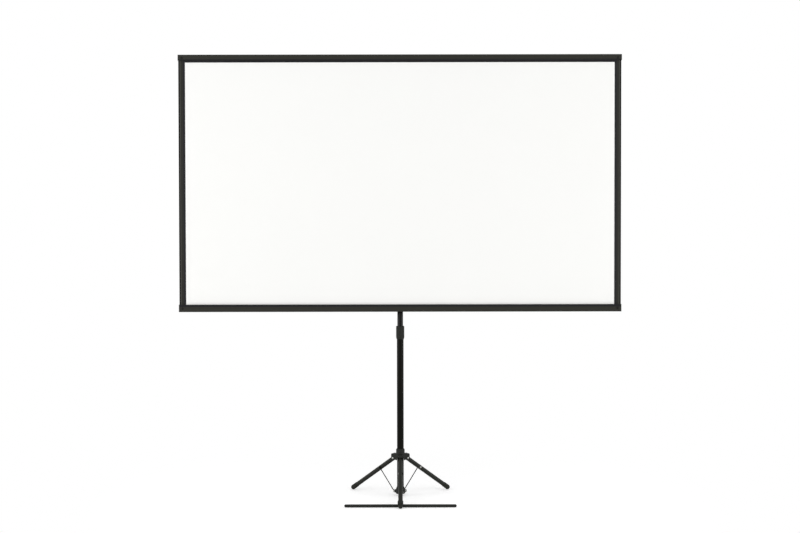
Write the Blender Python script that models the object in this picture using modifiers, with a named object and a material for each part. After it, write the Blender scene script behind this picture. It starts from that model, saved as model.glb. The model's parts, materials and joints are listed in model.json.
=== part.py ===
"""A pull up projection screen on a folding tripod, each piece its own object.

The fabric is drawn up out of a case that holds a spring roller. A telescopic mast behind it carries
the case, and two rods that slide out of the mast hold up the top bar. Metres, +Z up, and the screen
faces -Y. The origin is on the floor under the middle of the whole object.
"""

import math

import bmesh
import bpy

# Clearances and roundness
GAP = 0.0003
OVERRUN = 0.002
WELD = 0.000001
SHARP_ANGLE = math.radians(35)
ROUND_STEPS = 24
PIN_STEPS = 12
ARC_STEPS = 4
DOME_STEPS = 5
WIRE_ROUND_STEPS = 2

# Picture, borders and fabric
PICTURE_WIDTH = 1.771
PICTURE_HEIGHT = 0.996
SIDE_BORDER = 0.0255
TOP_BORDER = 0.008
FABRIC_THICKNESS = 0.0003
HEM_WIDTH = 0.017
HEM_THICKNESS = 0.0004

# Case, top bar and their end caps
CASE_HEIGHT = 0.0305
CASE_DEPTH = 0.038
CASE_WALL = 0.0015
CASE_SLOT = 0.004
CASE_STRIP = 0.009
BAR_HEIGHT = 0.024
BAR_DEPTH = 0.015
BAR_WALL = 0.0014
BAR_SLOT = 0.003
BAR_STRIP = 0.004
STRIP_STEP = 0.0008
EDGE_CHAMFER = 0.0045
EDGE_ROUND = 0.002
CAP_FLANGE = 0.006
CAP_END_WALL = 0.0014
CAP_TONGUE = 0.0015
CAP_TONGUE_LENGTH = 0.027
CAP_SCREW_INSET = 0.0175
CAP_SCREW_RISE = 0.0148
CAP_WELL_RADIUS = 0.0045
END_PLAY = 0.0006
CLOSED_PLAY = 0.0008

# Roller inside the case, and the rod in the bar that holds the fabric
ROLLER_RADIUS = 0.0075
ROLLER_WALL = 0.001
ROLLER_AHEAD = 0.0015
WRAP_TURNS = 2
ARBOR_RADIUS = 0.003
ARBOR_LENGTH = 0.26
GUDGEON_LENGTH = 0.018
PLUG_LENGTH = 0.014
SPRING_RADIUS = 0.0052
SPRING_PLAY = 0.0006
SPRING_LENGTH = 0.22
KEDER_RADIUS = 0.003

# Screws
SCREW_HEAD_RADIUS = 0.0036
SCREW_HEAD_HEIGHT = 0.0009
SCREW_SHANK_RADIUS = 0.0015
SCREW_TAIL = 0.0015

# Mast, from the floor up
MAST_CLEARANCE = 0.0105
LOWER_MAST_RADIUS = 0.014
LOWER_MAST_WALL = 0.0012
LOWER_MAST_LENGTH = 0.6795
MIDDLE_MAST_WALL = 0.0012
MIDDLE_MAST_LENGTH = 0.494
MIDDLE_MAST_DRAWN = 0.107
MAST_PLAY = 0.0008
ROD_WALL = 0.001
ROD_PLAY = 0.0013
ROD_OVERLAP = 0.045
BUSH_HEIGHT = 0.005
BUSH_LIP = 0.001
BUSH_SPIGOT = 0.015

# Twist collar at the top of the lower mast
TWIST_WALL = 0.00295
TWIST_LENGTH = 0.055
TWIST_ABOVE = 0.020
TWIST_TAPER = 0.002
TWIST_TAPER_LENGTH = 0.009
TWIST_ROOF = 0.0065
FLUTE_COUNT = 12
FLUTE_RADIUS = 0.0024
FLUTE_DEPTH = 0.0007
COLLET_HEIGHT = 0.012
COLLET_SLIT = 0.002

# Bracket that carries the case, and the hanger that carries the top bar
CASE_DROP = 0.025
CASE_SETBACK = 0.0165
BRACKET_PLATE = 0.0025
BRACKET_WIDTH = 0.050
BRACKET_SLEEVE_HEIGHT = 0.020
BRACKET_WALL = 0.0038
BRACKET_SCREW_SPREAD = 0.019
BRACKET_MARGIN = 0.002
HANGER_HEIGHT = 0.019
HANGER_WALL = 0.003
HANGER_ARM_WIDTH = 0.014
HANGER_PLATE = 0.0025
HANGER_WIDTH = 0.040
HANGER_SCREW_SPREAD = 0.013
HANGER_MARGIN = 0.002

# Leg hub
HUB_WALL = 0.004
HUB_WEB = 0.0029
HUB_HEIGHT = 0.049
HUB_SHOULDER = 0.004
CHEEK_THICKNESS = 0.0032
CLEVIS_REACH = 0.008
CLEVIS_ABOVE = 0.020
CLEVIS_BELOW = 0.0073
CLEVIS_ROUND = 0.004
KNOB_HEIGHT_ON_HUB = 0.036
KNOB_BOSS_RADIUS = 0.0065
KNOB_BOSS_REACH = 0.005
KNOB_STEM_RADIUS = 0.003
KNOB_RADIUS = 0.012
KNOB_THICKNESS = 0.011
KNOB_LOBES = 5
KNOB_LOBE_DEPTH = 0.0012
KNOB_POINTS_PER_LOBE = 8

# Legs and feet, with each leg's heading from the mast, turning from +X to +Y
LEG_HEADINGS = {"front": math.radians(270), "right": math.radians(30), "left": math.radians(150)}
LEG_SLOPE = math.radians(35.8)
LEG_REACH = 0.2496
LEG_RADIUS = 0.0088
LEG_WALL = 0.0012
LEG_PLUG = 0.012
FOOT_WALL = 0.0013
FOOT_SLEEVE = 0.0246
FOOT_FLOOR = 0.0036
SOLE_DEPTH = 0.0005
FRONT_FOOT_SPIGOT = 0.012
PIN_RADIUS = 0.0025
PIN_HEAD_RADIUS = 0.004
PIN_HEAD_HEIGHT = 0.0015

# Braces and the lower collar
COLLAR_WALL = 0.0062
COLLAR_LIP = 0.0014
COLLAR_HEIGHT = 0.032
COLLAR_FLOOR = 0.0022
COLLAR_BELLY_HEIGHT = 0.013
COLLAR_SHOULDER_HEIGHT = 0.018
COLLAR_ROUND = 0.0075
BRACE_ALONG_LEG = 0.0784
BRACE_FOOT_HEIGHT = 0.0175
WIRE_RADIUS = 0.002
EYE_RADIUS = 0.005
EYE_THICKNESS = 0.003
LUG_WIDTH = 0.0131
LUG_SIDE_PLAY = 0.0003
RIVET_RADIUS = 0.002
RIVET_HEAD_RADIUS = 0.0036
RIVET_HEAD_HEIGHT = 0.0012

# Wings on the front leg
WING_SETBACK = 0.0162
WING_RADIUS = 0.006
WING_TIP_RADIUS = 0.0054
WING_LENGTH = 0.197
WING_PLAY = 0.0006
SADDLE_WALL = 0.0022
SADDLE_LENGTH = 0.020
EAR_THICKNESS = 0.003
EAR_ROUND = 0.006

# Heights and places that follow from the sizes above
LOWER_MAST_TOP = MAST_CLEARANCE + LOWER_MAST_LENGTH
MIDDLE_MAST_TOP = LOWER_MAST_TOP + MIDDLE_MAST_DRAWN
CASE_BOTTOM = MIDDLE_MAST_TOP - CASE_DROP
CASE_TOP = CASE_BOTTOM + CASE_HEIGHT
BAR_BOTTOM = CASE_TOP + PICTURE_HEIGHT + TOP_BORDER
ROD_TRAVEL = (BAR_BOTTOM - CASE_TOP - CLOSED_PLAY) / 2
LOWER_BUSH_TOP = MIDDLE_MAST_TOP + GAP + BUSH_HEIGHT
LOWER_ROD_TOP = LOWER_BUSH_TOP + ROD_TRAVEL
UPPER_BUSH_TOP = LOWER_ROD_TOP + GAP + BUSH_HEIGHT
HANGER_BOTTOM = UPPER_BUSH_TOP + GAP + ROD_TRAVEL
UPPER_ROD_TOP = HANGER_BOTTOM + HANGER_HEIGHT - HANGER_WALL - GAP

MIDDLE_MAST_RADIUS = LOWER_MAST_RADIUS - LOWER_MAST_WALL - MAST_PLAY
LOWER_ROD_RADIUS = MIDDLE_MAST_RADIUS - MIDDLE_MAST_WALL - ROD_PLAY
UPPER_ROD_RADIUS = LOWER_ROD_RADIUS - ROD_WALL - ROD_PLAY

FABRIC_WIDTH = PICTURE_WIDTH + 2 * SIDE_BORDER
INNER_WIDTH = FABRIC_WIDTH + 2 * END_PLAY
OVERALL_WIDTH = INNER_WIDTH + 2 * CAP_END_WALL
BODY_LENGTH = OVERALL_WIDTH - 2 * (CAP_FLANGE + GAP)

CASE_AHEAD = CASE_SETBACK + CASE_DEPTH / 2
CASE_REAR = -CASE_SETBACK
CASE_MIDDLE = CASE_BOTTOM + CASE_HEIGHT / 2
ROLLER_Y = -CASE_AHEAD - ROLLER_AHEAD
WRAP_INNER = ROLLER_RADIUS + GAP
WRAP_OUTER = WRAP_INNER + WRAP_TURNS * FABRIC_THICKNESS
FABRIC_Y = ROLLER_Y - WRAP_OUTER - GAP - FABRIC_THICKNESS / 2
BAR_REAR = FABRIC_Y + BAR_DEPTH / 2

HUB_RADIUS = LOWER_MAST_RADIUS + HUB_WALL
HUB_PIVOT_RADIUS = HUB_RADIUS + HUB_WEB + GAP + LEG_RADIUS
FOOT_RADIUS = LEG_RADIUS + GAP / 2 + FOOT_WALL
HUB_PIVOT_HEIGHT = LEG_REACH * math.sin(LEG_SLOPE) + FOOT_RADIUS - SOLE_DEPTH
HUB_BOTTOM = HUB_PIVOT_HEIGHT - CLEVIS_BELOW
CHEEK_FACE = LEG_RADIUS + GAP
CLEVIS_SIDE = CHEEK_FACE + CHEEK_THICKNESS

COLLAR_RADIUS = LOWER_MAST_RADIUS + COLLAR_WALL
COLLAR_BOTTOM = MAST_CLEARANCE - GAP - COLLAR_FLOOR
LUG_FACE = LEG_RADIUS + LUG_SIDE_PLAY
EYE_FACE = LUG_FACE + GAP
WIRE_SIDE = EYE_FACE + WIRE_RADIUS
BRACE_FOOT_RADIUS = EYE_RADIUS + GAP + math.sqrt((COLLAR_RADIUS + GAP) ** 2 - EYE_FACE**2)
BRACE_HEAD_RADIUS = HUB_PIVOT_RADIUS + BRACE_ALONG_LEG * math.cos(LEG_SLOPE)
BRACE_HEAD_HEIGHT = HUB_PIVOT_HEIGHT - BRACE_ALONG_LEG * math.sin(LEG_SLOPE)
BRACE_RUN = BRACE_HEAD_RADIUS - BRACE_FOOT_RADIUS
BRACE_RISE = BRACE_HEAD_HEIGHT - BRACE_FOOT_HEIGHT
BRACE_LENGTH = math.hypot(BRACE_RUN, BRACE_RISE)
BRACE_SLOPE = math.atan2(BRACE_RISE, BRACE_RUN)
BRACE_SIDE = WIRE_SIDE + WIRE_RADIUS + GAP

FRONT_FOOT_DROP = HUB_PIVOT_HEIGHT - LEG_RADIUS + SOLE_DEPTH
FRONT_FOOT_ALONG = FRONT_FOOT_DROP / math.sin(LEG_SLOPE)
WING_ALONG = FRONT_FOOT_ALONG - WING_SETBACK
WING_SPREAD = BRACE_SIDE + WING_RADIUS + WING_PLAY
LEG_HEIGHT_AT_WING = HUB_PIVOT_HEIGHT - WING_ALONG * math.sin(LEG_SLOPE)
WING_DROP = (LEG_HEIGHT_AT_WING - WING_RADIUS - GAP) / math.cos(LEG_SLOPE)
EAR_BOTTOM = WING_RADIUS + GAP - WING_DROP
SADDLE_END = WING_ALONG + SADDLE_LENGTH / 2

FRONT_REACH = HUB_PIVOT_RADIUS + FRONT_FOOT_ALONG * math.cos(LEG_SLOPE) + LEG_RADIUS
REAR_FOOT_CENTRE = HUB_PIVOT_RADIUS + LEG_REACH * math.cos(LEG_SLOPE)
REAR_REACH = REAR_FOOT_CENTRE * math.sin(LEG_HEADINGS["right"]) + FOOT_RADIUS
MAST_Y = (FRONT_REACH - REAR_REACH) / 2

SIDES = {"left": -1, "right": 1}
ALONG_X = (0, math.radians(90), 0)
PROFILE_ALONG_X = (math.radians(90), 0, math.radians(90))
ACROSS_Y = (math.radians(90), 0, 0)

# Colour, roughness and metallic value of each finish
FINISHES = {
    "charcoal_anodised": ("34342F", 0.45, 0.6),
    "moulded_black": ("2E2E2B", 0.55, 0.0),
    "matte_grey_nylon": ("3C3C38", 0.6, 0.0),
    "black_powder_coat": ("262722", 0.5, 0.2),
    "black_mast": ("17180F", 0.3, 0.3),
    "polished_black": ("1C1D18", 0.15, 0.8),
    "zinc": ("B9B9B4", 0.3, 1.0),
    "black_oxide": ("1E1E1D", 0.4, 0.8),
    "rubber": ("22221F", 0.8, 0.0),
    "white_screen": ("F4F4F2", 0.9, 0.0),
    "roller_steel": ("8A8C8D", 0.35, 1.0),
    "spring_steel": ("6F7072", 0.3, 1.0),
    "clear_plastic": ("C9C9C2", 0.4, 0.0),
}


def linear(hex_code):
    """An sRGB hex colour as linear red, green and blue, with an alpha of 1."""
    channels = [int(hex_code[i : i + 2], 16) / 255 for i in (0, 2, 4)]
    return [c / 12.92 if c <= 0.04045 else ((c + 0.055) / 1.055) ** 2.4 for c in channels] + [1]


def clear_scene():
    for obj in list(bpy.data.objects):
        bpy.data.objects.remove(obj, do_unlink=True)


def new_collection(name):
    collection = bpy.data.collections.new(name)
    bpy.context.scene.collection.children.link(collection)
    return collection


def new_material(name, hex_code, roughness, metallic):
    material = bpy.data.materials.new(name)
    material.use_nodes = True
    shader = material.node_tree.nodes["Principled BSDF"]
    shader.inputs["Base Color"].default_value = linear(hex_code)
    shader.inputs["Roughness"].default_value = roughness
    shader.inputs["Metallic"].default_value = metallic
    material.diffuse_color = linear(hex_code)
    return material


clear_scene()
PARTS = new_collection("pull_up_projection_screen")
CUTTERS = new_collection("cutters")


def pivot(name, parent=None, location=(0, 0, 0), rotation=(0, 0, 0)):
    """An empty that pieces hang on, at a joint or along a heading."""
    empty = bpy.data.objects.new(name, None)
    PARTS.objects.link(empty)
    empty.parent = parent
    empty.location = location
    empty.rotation_euler = rotation
    return empty


def part(obj, name, finish, parent, location=(0, 0, 0), rotation=(0, 0, 0)):
    """Names a shape as one piece of the object, with a material of its own, and places it."""
    obj.name = name
    obj.parent = parent
    obj.location = location
    obj.rotation_euler = rotation
    obj.data.materials.clear()
    obj.data.materials.append(new_material(name + "_" + finish, *FINISHES[finish]))
    return obj


def tool(obj, name, parent, location=(0, 0, 0), rotation=(0, 0, 0)):
    """Makes a shape a cutter, or a lump to be joined, which is hidden itself."""
    obj.name = name
    obj.parent = parent
    obj.location = location
    obj.rotation_euler = rotation
    obj.hide_render = True
    obj.display_type = "WIRE"
    PARTS.objects.unlink(obj)
    CUTTERS.objects.link(obj)
    return obj


def boolean(target, operation, other):
    modifier = target.modifiers.new(other.name, "BOOLEAN")
    modifier.operation = operation
    modifier.object = other


def cut(target, cutter):
    boolean(target, "DIFFERENCE", cutter)


def join(target, lump):
    boolean(target, "UNION", lump)


def object_of(mesh):
    mesh.shade_smooth()
    mesh.set_sharp_from_angle(angle=SHARP_ANGLE)
    obj = bpy.data.objects.new(mesh.name, mesh)
    PARTS.objects.link(obj)
    return obj


def baked(obj):
    """The mesh that a curve or a Screw makes, welded and with its faces outwards, as a new object."""
    bpy.context.view_layer.update()
    evaluated = obj.evaluated_get(bpy.context.evaluated_depsgraph_get())
    mesh = bpy.data.meshes.new_from_object(evaluated)
    bpy.data.objects.remove(obj, do_unlink=True)
    work = bmesh.new()
    work.from_mesh(mesh)
    bmesh.ops.remove_doubles(work, verts=work.verts, dist=WELD)
    bmesh.ops.recalc_face_normals(work, faces=work.faces)
    work.to_mesh(mesh)
    work.free()
    return object_of(mesh)


def turned(profile, steps=ROUND_STEPS):
    """A profile of (radius, height) points, closed on itself, turned about local Z."""
    mesh = bpy.data.meshes.new("turned")
    ends = [(i, (i + 1) % len(profile)) for i in range(len(profile))]
    mesh.from_pydata([(radius, 0, height) for radius, height in profile], ends, [])
    obj = bpy.data.objects.new("turned", mesh)
    PARTS.objects.link(obj)
    screw = obj.modifiers.new("turn", "SCREW")
    screw.steps = steps
    screw.render_steps = steps
    screw.use_merge_vertices = True
    screw.merge_threshold = WELD
    return baked(obj)


def extruded(outline, length):
    """A closed outline in local X and Y, extruded along local Z to this length about its middle."""
    curve = bpy.data.curves.new("outline", "CURVE")
    curve.dimensions = "2D"
    curve.fill_mode = "BOTH"
    curve.extrude = length / 2
    spline = curve.splines.new("POLY")
    spline.points.add(len(outline) - 1)
    for point, (x, y) in zip(spline.points, outline):
        point.co = (x, y, 0, 1)
    spline.use_cyclic_u = True
    obj = bpy.data.objects.new("outline", curve)
    PARTS.objects.link(obj)
    return baked(obj)


def wire(start, end, radius):
    """A straight wire between two points."""
    curve = bpy.data.curves.new("wire", "CURVE")
    curve.dimensions = "3D"
    curve.bevel_depth = radius
    curve.bevel_resolution = WIRE_ROUND_STEPS
    curve.use_fill_caps = True
    spline = curve.splines.new("POLY")
    spline.points.add(1)
    for point, place in zip(spline.points, (start, end)):
        point.co = (*place, 1)
    obj = bpy.data.objects.new("wire", curve)
    PARTS.objects.link(obj)
    return baked(obj)


def block(size, middle=(0, 0, 0)):
    """A box of this size about its middle."""
    mesh = bpy.data.meshes.new("block")
    work = bmesh.new()
    bmesh.ops.create_cube(work, size=1)
    bmesh.ops.scale(work, vec=size, verts=work.verts)
    bmesh.ops.translate(work, vec=middle, verts=work.verts)
    work.to_mesh(mesh)
    work.free()
    return object_of(mesh)


def rod(radius, low, high, steps=PIN_STEPS):
    """A solid cylinder about local Z from one height to another."""
    mesh = bpy.data.meshes.new("rod")
    work = bmesh.new()
    bmesh.ops.create_cone(
        work,
        cap_ends=True,
        segments=steps,
        radius1=radius,
        radius2=radius,
        depth=high - low,
    )
    bmesh.ops.translate(work, vec=(0, 0, (low + high) / 2), verts=work.verts)
    work.to_mesh(mesh)
    work.free()
    return object_of(mesh)


def tube(outer, inner, low, high, steps=ROUND_STEPS):
    """An open tube about local Z."""
    return turned([(outer, high), (outer, low), (inner, low), (inner, high)], steps)


def bore(radius, steps=ROUND_STEPS):
    """The radius of a faceted hole whose flats clear a round piece of this radius."""
    return (radius + GAP / 2) / math.cos(math.pi / steps)


def rounded(corners):
    """An outline with its corners (x, y, radius) turned into arcs, in the order given."""
    outline = []
    for i, (x, y, radius) in enumerate(corners):
        if radius == 0:
            outline.append((x, y))
            continue
        before = corners[i - 1]
        after = corners[(i + 1) % len(corners)]
        back = math.atan2(before[1] - y, before[0] - x)
        ahead = math.atan2(after[1] - y, after[0] - x)
        turn = (ahead - back + math.pi) % (2 * math.pi) - math.pi
        reach = radius / math.tan(abs(turn) / 2)
        middle = back + turn / 2
        to_centre = math.hypot(radius, reach)
        centre = (x + to_centre * math.cos(middle), y + to_centre * math.sin(middle))
        start = (x + reach * math.cos(back), y + reach * math.sin(back))
        end = (x + reach * math.cos(ahead), y + reach * math.sin(ahead))
        first = math.atan2(start[1] - centre[1], start[0] - centre[0])
        last = math.atan2(end[1] - centre[1], end[0] - centre[0])
        sweep = (last - first + math.pi) % (2 * math.pi) - math.pi
        for step in range(ARC_STEPS + 1):
            angle = first + sweep * step / ARC_STEPS
            outline.append(
                (centre[0] + radius * math.cos(angle), centre[1] + radius * math.sin(angle))
            )
    return outline


def dome(radius, middle, up):
    """Profile points of a half ball about the axis, from its rim to its pole."""
    quarter = math.radians(90)
    points = []
    for step in range(DOME_STEPS + 1):
        angle = quarter * step / DOME_STEPS
        points.append((radius * math.cos(angle), middle + up * radius * math.sin(angle)))
    points[-1] = (0, points[-1][1])
    return points


def section(depth, height, strip):
    """The outer section of the case or the bar: local X runs back, and local Y away from the fabric.

    The front has a recessed strip beside the fabric and a chamfer along its far edge.
    """
    front = -depth / 2
    back = depth / 2
    return rounded(
        [
            (front + STRIP_STEP, 0, 0),
            (front + STRIP_STEP, strip, 0),
            (front, strip, 0),
            (front, height - EDGE_CHAMFER, 0),
            (front + EDGE_CHAMFER, height, 0),
            (back, height, EDGE_ROUND),
            (back, 0, EDGE_ROUND),
        ]
    )


def cavity_chamfer(wall):
    """How far the hollow's far front corner is cut off, to keep the wall under the chamfer."""
    return EDGE_CHAMFER + math.sqrt(2) * wall - 2 * wall - STRIP_STEP


def cavity(depth, height, wall):
    """The hollow of the case or the bar, a wall inside its section."""
    front = -depth / 2 + wall + STRIP_STEP
    back = depth / 2 - wall
    chamfer = cavity_chamfer(wall)
    return rounded(
        [
            (front, wall, 0),
            (front, height - wall - chamfer, 0),
            (front + chamfer, height - wall, 0),
            (back, height - wall, 0),
            (back, wall, 0),
        ]
    )


def channel(name, depth, height, wall, slot, strip, slot_ahead, holder):
    """An extruded channel with a slot for the fabric, about the middle of its holder."""
    body = extruded(section(depth, height, strip), BODY_LENGTH)
    part(body, name, "charcoal_anodised", holder, rotation=PROFILE_ALONG_X)
    hollow = extruded(cavity(depth, height, wall), BODY_LENGTH + 2 * OVERRUN)
    cut(body, tool(hollow, name + "_hollow", holder, rotation=PROFILE_ALONG_X))
    slit = block((BODY_LENGTH + 2 * OVERRUN, slot, 2 * wall + OVERRUN))
    cut(body, tool(slit, name + "_slit", holder, location=(0, -slot_ahead, 0)))
    return body


def end_cap(name, side, body, depth, height, wall, slot, strip, slot_ahead, holder):
    """A cap flush with a channel's end, on two tongues inside it, and the screw that holds it.

    The screw stands on the front tongue, in a hole through the channel's front wall.
    """
    outer_end = side * OVERALL_WIDTH / 2
    cap = extruded(section(depth, height, strip), CAP_FLANGE)
    middle = outer_end - side * CAP_FLANGE / 2
    part(cap, name + "_cap", "moulded_black", holder, (middle, 0, 0), PROFILE_ALONG_X)
    tongue_face = -depth / 2 + wall + STRIP_STEP + GAP
    hollow_front = tongue_face + CAP_TONGUE
    hollow_back = depth / 2 - wall - GAP - CAP_TONGUE
    tongue_low = wall + GAP
    tongue_high = height - wall - cavity_chamfer(wall) - GAP
    tongue_length = CAP_TONGUE_LENGTH + CAP_FLANGE - CAP_END_WALL
    tongue_size = (tongue_length, CAP_TONGUE + OVERRUN, tongue_high - tongue_low)
    tongue_x = outer_end - side * (CAP_END_WALL + tongue_length / 2)
    tongue_z = (tongue_low + tongue_high) / 2
    front_place = (tongue_x, tongue_face + (CAP_TONGUE + OVERRUN) / 2, tongue_z)
    back_place = (tongue_x, hollow_back + (CAP_TONGUE - OVERRUN) / 2, tongue_z)
    join(cap, tool(block(tongue_size), name + "_front_tongue", holder, front_place))
    join(cap, tool(block(tongue_size), name + "_back_tongue", holder, back_place))
    hollow_length = tongue_length + OVERRUN
    hollow_x = outer_end - side * (CAP_END_WALL + hollow_length / 2)
    hollow = block((hollow_length, hollow_back - hollow_front, height - 2 * wall))
    place = (hollow_x, (hollow_front + hollow_back) / 2, height / 2)
    cut(cap, tool(hollow, name + "_cap_hollow", holder, place))
    slit = block((hollow_length, slot, 2 * wall + OVERRUN))
    cut(cap, tool(slit, name + "_cap_slit", holder, (hollow_x, -slot_ahead, 0)))
    wedge = extruded(
        [
            (-side * (EDGE_CHAMFER + OVERRUN), -depth / 2 - OVERRUN),
            (side * OVERRUN, -depth / 2 + EDGE_CHAMFER + OVERRUN),
            (side * OVERRUN, -depth / 2 - OVERRUN),
        ],
        height + 2 * OVERRUN,
    )
    cut(cap, tool(wedge, name + "_end_chamfer", holder, (outer_end, 0, height / 2)))
    screw_x = outer_end - side * CAP_SCREW_INSET
    screw_z = height - CAP_SCREW_RISE
    seat = pivot(name + "_screw_axis", holder, (screw_x, tongue_face, screw_z), ACROSS_Y)
    well = rod(CAP_WELL_RADIUS, -GAP, wall + STRIP_STEP + GAP + OVERRUN, ROUND_STEPS)
    cut(body, tool(well, name + "_well", seat))
    cut(cap, screw(name + "_screw", seat, CAP_TONGUE))
    return cap


def screw(name, seat, grip):
    """A pan head screw that points down local Z from its seat, and the cutter for its hole."""
    top = GAP + SCREW_HEAD_HEIGHT
    shape = turned(
        [
            (0, top),
            (SCREW_HEAD_RADIUS - SCREW_HEAD_HEIGHT / 2, top),
            (SCREW_HEAD_RADIUS, top - SCREW_HEAD_HEIGHT / 2),
            (SCREW_HEAD_RADIUS, GAP),
            (SCREW_SHANK_RADIUS, GAP),
            (SCREW_SHANK_RADIUS, -grip),
            (0, -grip),
        ],
        PIN_STEPS,
    )
    part(shape, name, "black_oxide", seat)
    hole = rod(bore(SCREW_SHANK_RADIUS, PIN_STEPS), -grip - OVERRUN, OVERRUN)
    return tool(hole, name + "_hole", seat)


def rivet(
    name,
    radius,
    head_radius,
    head_height,
    low,
    high,
    parent,
    rotation,
    both_heads=True,
    finish="zinc",
):
    """A pin about its own axis between two heights, with a domed head above and maybe one below."""
    crown = head_radius - head_height / 2
    profile = [
        (0, high + head_height),
        (crown, high + head_height),
        (head_radius, high + head_height / 2),
        (head_radius, high),
        (radius, high),
        (radius, low),
    ]
    if both_heads:
        profile += [
            (head_radius, low),
            (head_radius, low - head_height / 2),
            (crown, low - head_height),
            (0, low - head_height),
        ]
    else:
        profile.append((0, low))
    return part(turned(profile, PIN_STEPS), name, finish, parent, rotation=rotation)


def tube_bush(name, tube_outer, tube_inner, rod_radius, tube_top, mast):
    """A guide bush on the end of a mast tube: a lip on top, and a spigot down inside."""
    low = tube_top - BUSH_SPIGOT
    seat = tube_top + GAP
    top = seat + BUSH_HEIGHT
    lip = tube_outer + BUSH_LIP
    spigot = tube_inner - GAP
    hole = bore(rod_radius)
    shape = turned(
        [
            (lip - BUSH_LIP, top),
            (lip, top - BUSH_LIP),
            (lip, seat),
            (spigot, seat),
            (spigot, low),
            (hole, low),
            (hole, top),
        ]
    )
    return part(shape, name, "matte_grey_nylon", mast)


def build_mast(mast):
    lower = tube(
        LOWER_MAST_RADIUS,
        LOWER_MAST_RADIUS - LOWER_MAST_WALL,
        MAST_CLEARANCE,
        LOWER_MAST_TOP,
    )
    part(lower, "lower_mast", "black_mast", mast)
    middle = tube(
        MIDDLE_MAST_RADIUS,
        MIDDLE_MAST_RADIUS - MIDDLE_MAST_WALL,
        MIDDLE_MAST_TOP - MIDDLE_MAST_LENGTH,
        MIDDLE_MAST_TOP,
    )
    part(middle, "middle_mast", "polished_black", mast)
    lower_rod = tube(
        LOWER_ROD_RADIUS,
        LOWER_ROD_RADIUS - ROD_WALL,
        MIDDLE_MAST_TOP - ROD_OVERLAP,
        LOWER_ROD_TOP,
    )
    part(lower_rod, "lower_rod", "polished_black", mast)
    upper_rod = tube(
        UPPER_ROD_RADIUS,
        UPPER_ROD_RADIUS - ROD_WALL,
        LOWER_ROD_TOP - ROD_OVERLAP,
        UPPER_ROD_TOP,
    )
    part(upper_rod, "upper_rod", "polished_black", mast)
    tube_bush(
        "lower_rod_bush",
        MIDDLE_MAST_RADIUS,
        MIDDLE_MAST_RADIUS - MIDDLE_MAST_WALL,
        LOWER_ROD_RADIUS,
        MIDDLE_MAST_TOP,
        mast,
    )
    tube_bush(
        "upper_rod_bush",
        LOWER_ROD_RADIUS,
        LOWER_ROD_RADIUS - ROD_WALL,
        UPPER_ROD_RADIUS,
        LOWER_ROD_TOP,
        mast,
    )


def build_twist_collar(mast):
    """The collar and, inside it, the split collet that it closes on the middle mast."""
    top = LOWER_MAST_TOP + TWIST_ABOVE
    bottom = top - TWIST_LENGTH
    inner = bore(LOWER_MAST_RADIUS)
    outer = LOWER_MAST_RADIUS + GAP + TWIST_WALL
    throat = bore(MIDDLE_MAST_RADIUS)
    collar = turned(
        [
            (outer - TWIST_TAPER, top),
            (outer, top - TWIST_TAPER),
            (outer, bottom + TWIST_TAPER_LENGTH),
            (outer - TWIST_TAPER, bottom),
            (inner, bottom),
            (inner, top - TWIST_ROOF),
            (throat, top - TWIST_ROOF),
            (throat, top),
        ]
    )
    part(collar, "twist_collar", "matte_grey_nylon", mast)
    flute_low = bottom + TWIST_TAPER_LENGTH
    flute_high = top - TWIST_TAPER
    reach = outer + FLUTE_RADIUS - FLUTE_DEPTH
    for flute in range(FLUTE_COUNT):
        heading = 2 * math.pi * flute / FLUTE_COUNT
        place = (reach * math.cos(heading), reach * math.sin(heading), 0)
        groove = rod(FLUTE_RADIUS, flute_low, flute_high, ROUND_STEPS // 2)
        cut(collar, tool(groove, f"flute_{flute}", mast, place))
    low = LOWER_MAST_TOP + GAP
    collet = tube(LOWER_MAST_RADIUS, throat, low, low + COLLET_HEIGHT)
    part(collet, "mast_collet", "clear_plastic", mast)
    slit = block((LOWER_MAST_RADIUS + OVERRUN, COLLET_SLIT, COLLET_HEIGHT + OVERRUN))
    place = ((LOWER_MAST_RADIUS + OVERRUN) / 2, 0, low + COLLET_HEIGHT / 2)
    cut(collet, tool(slit, "collet_slit", mast, place))


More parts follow.
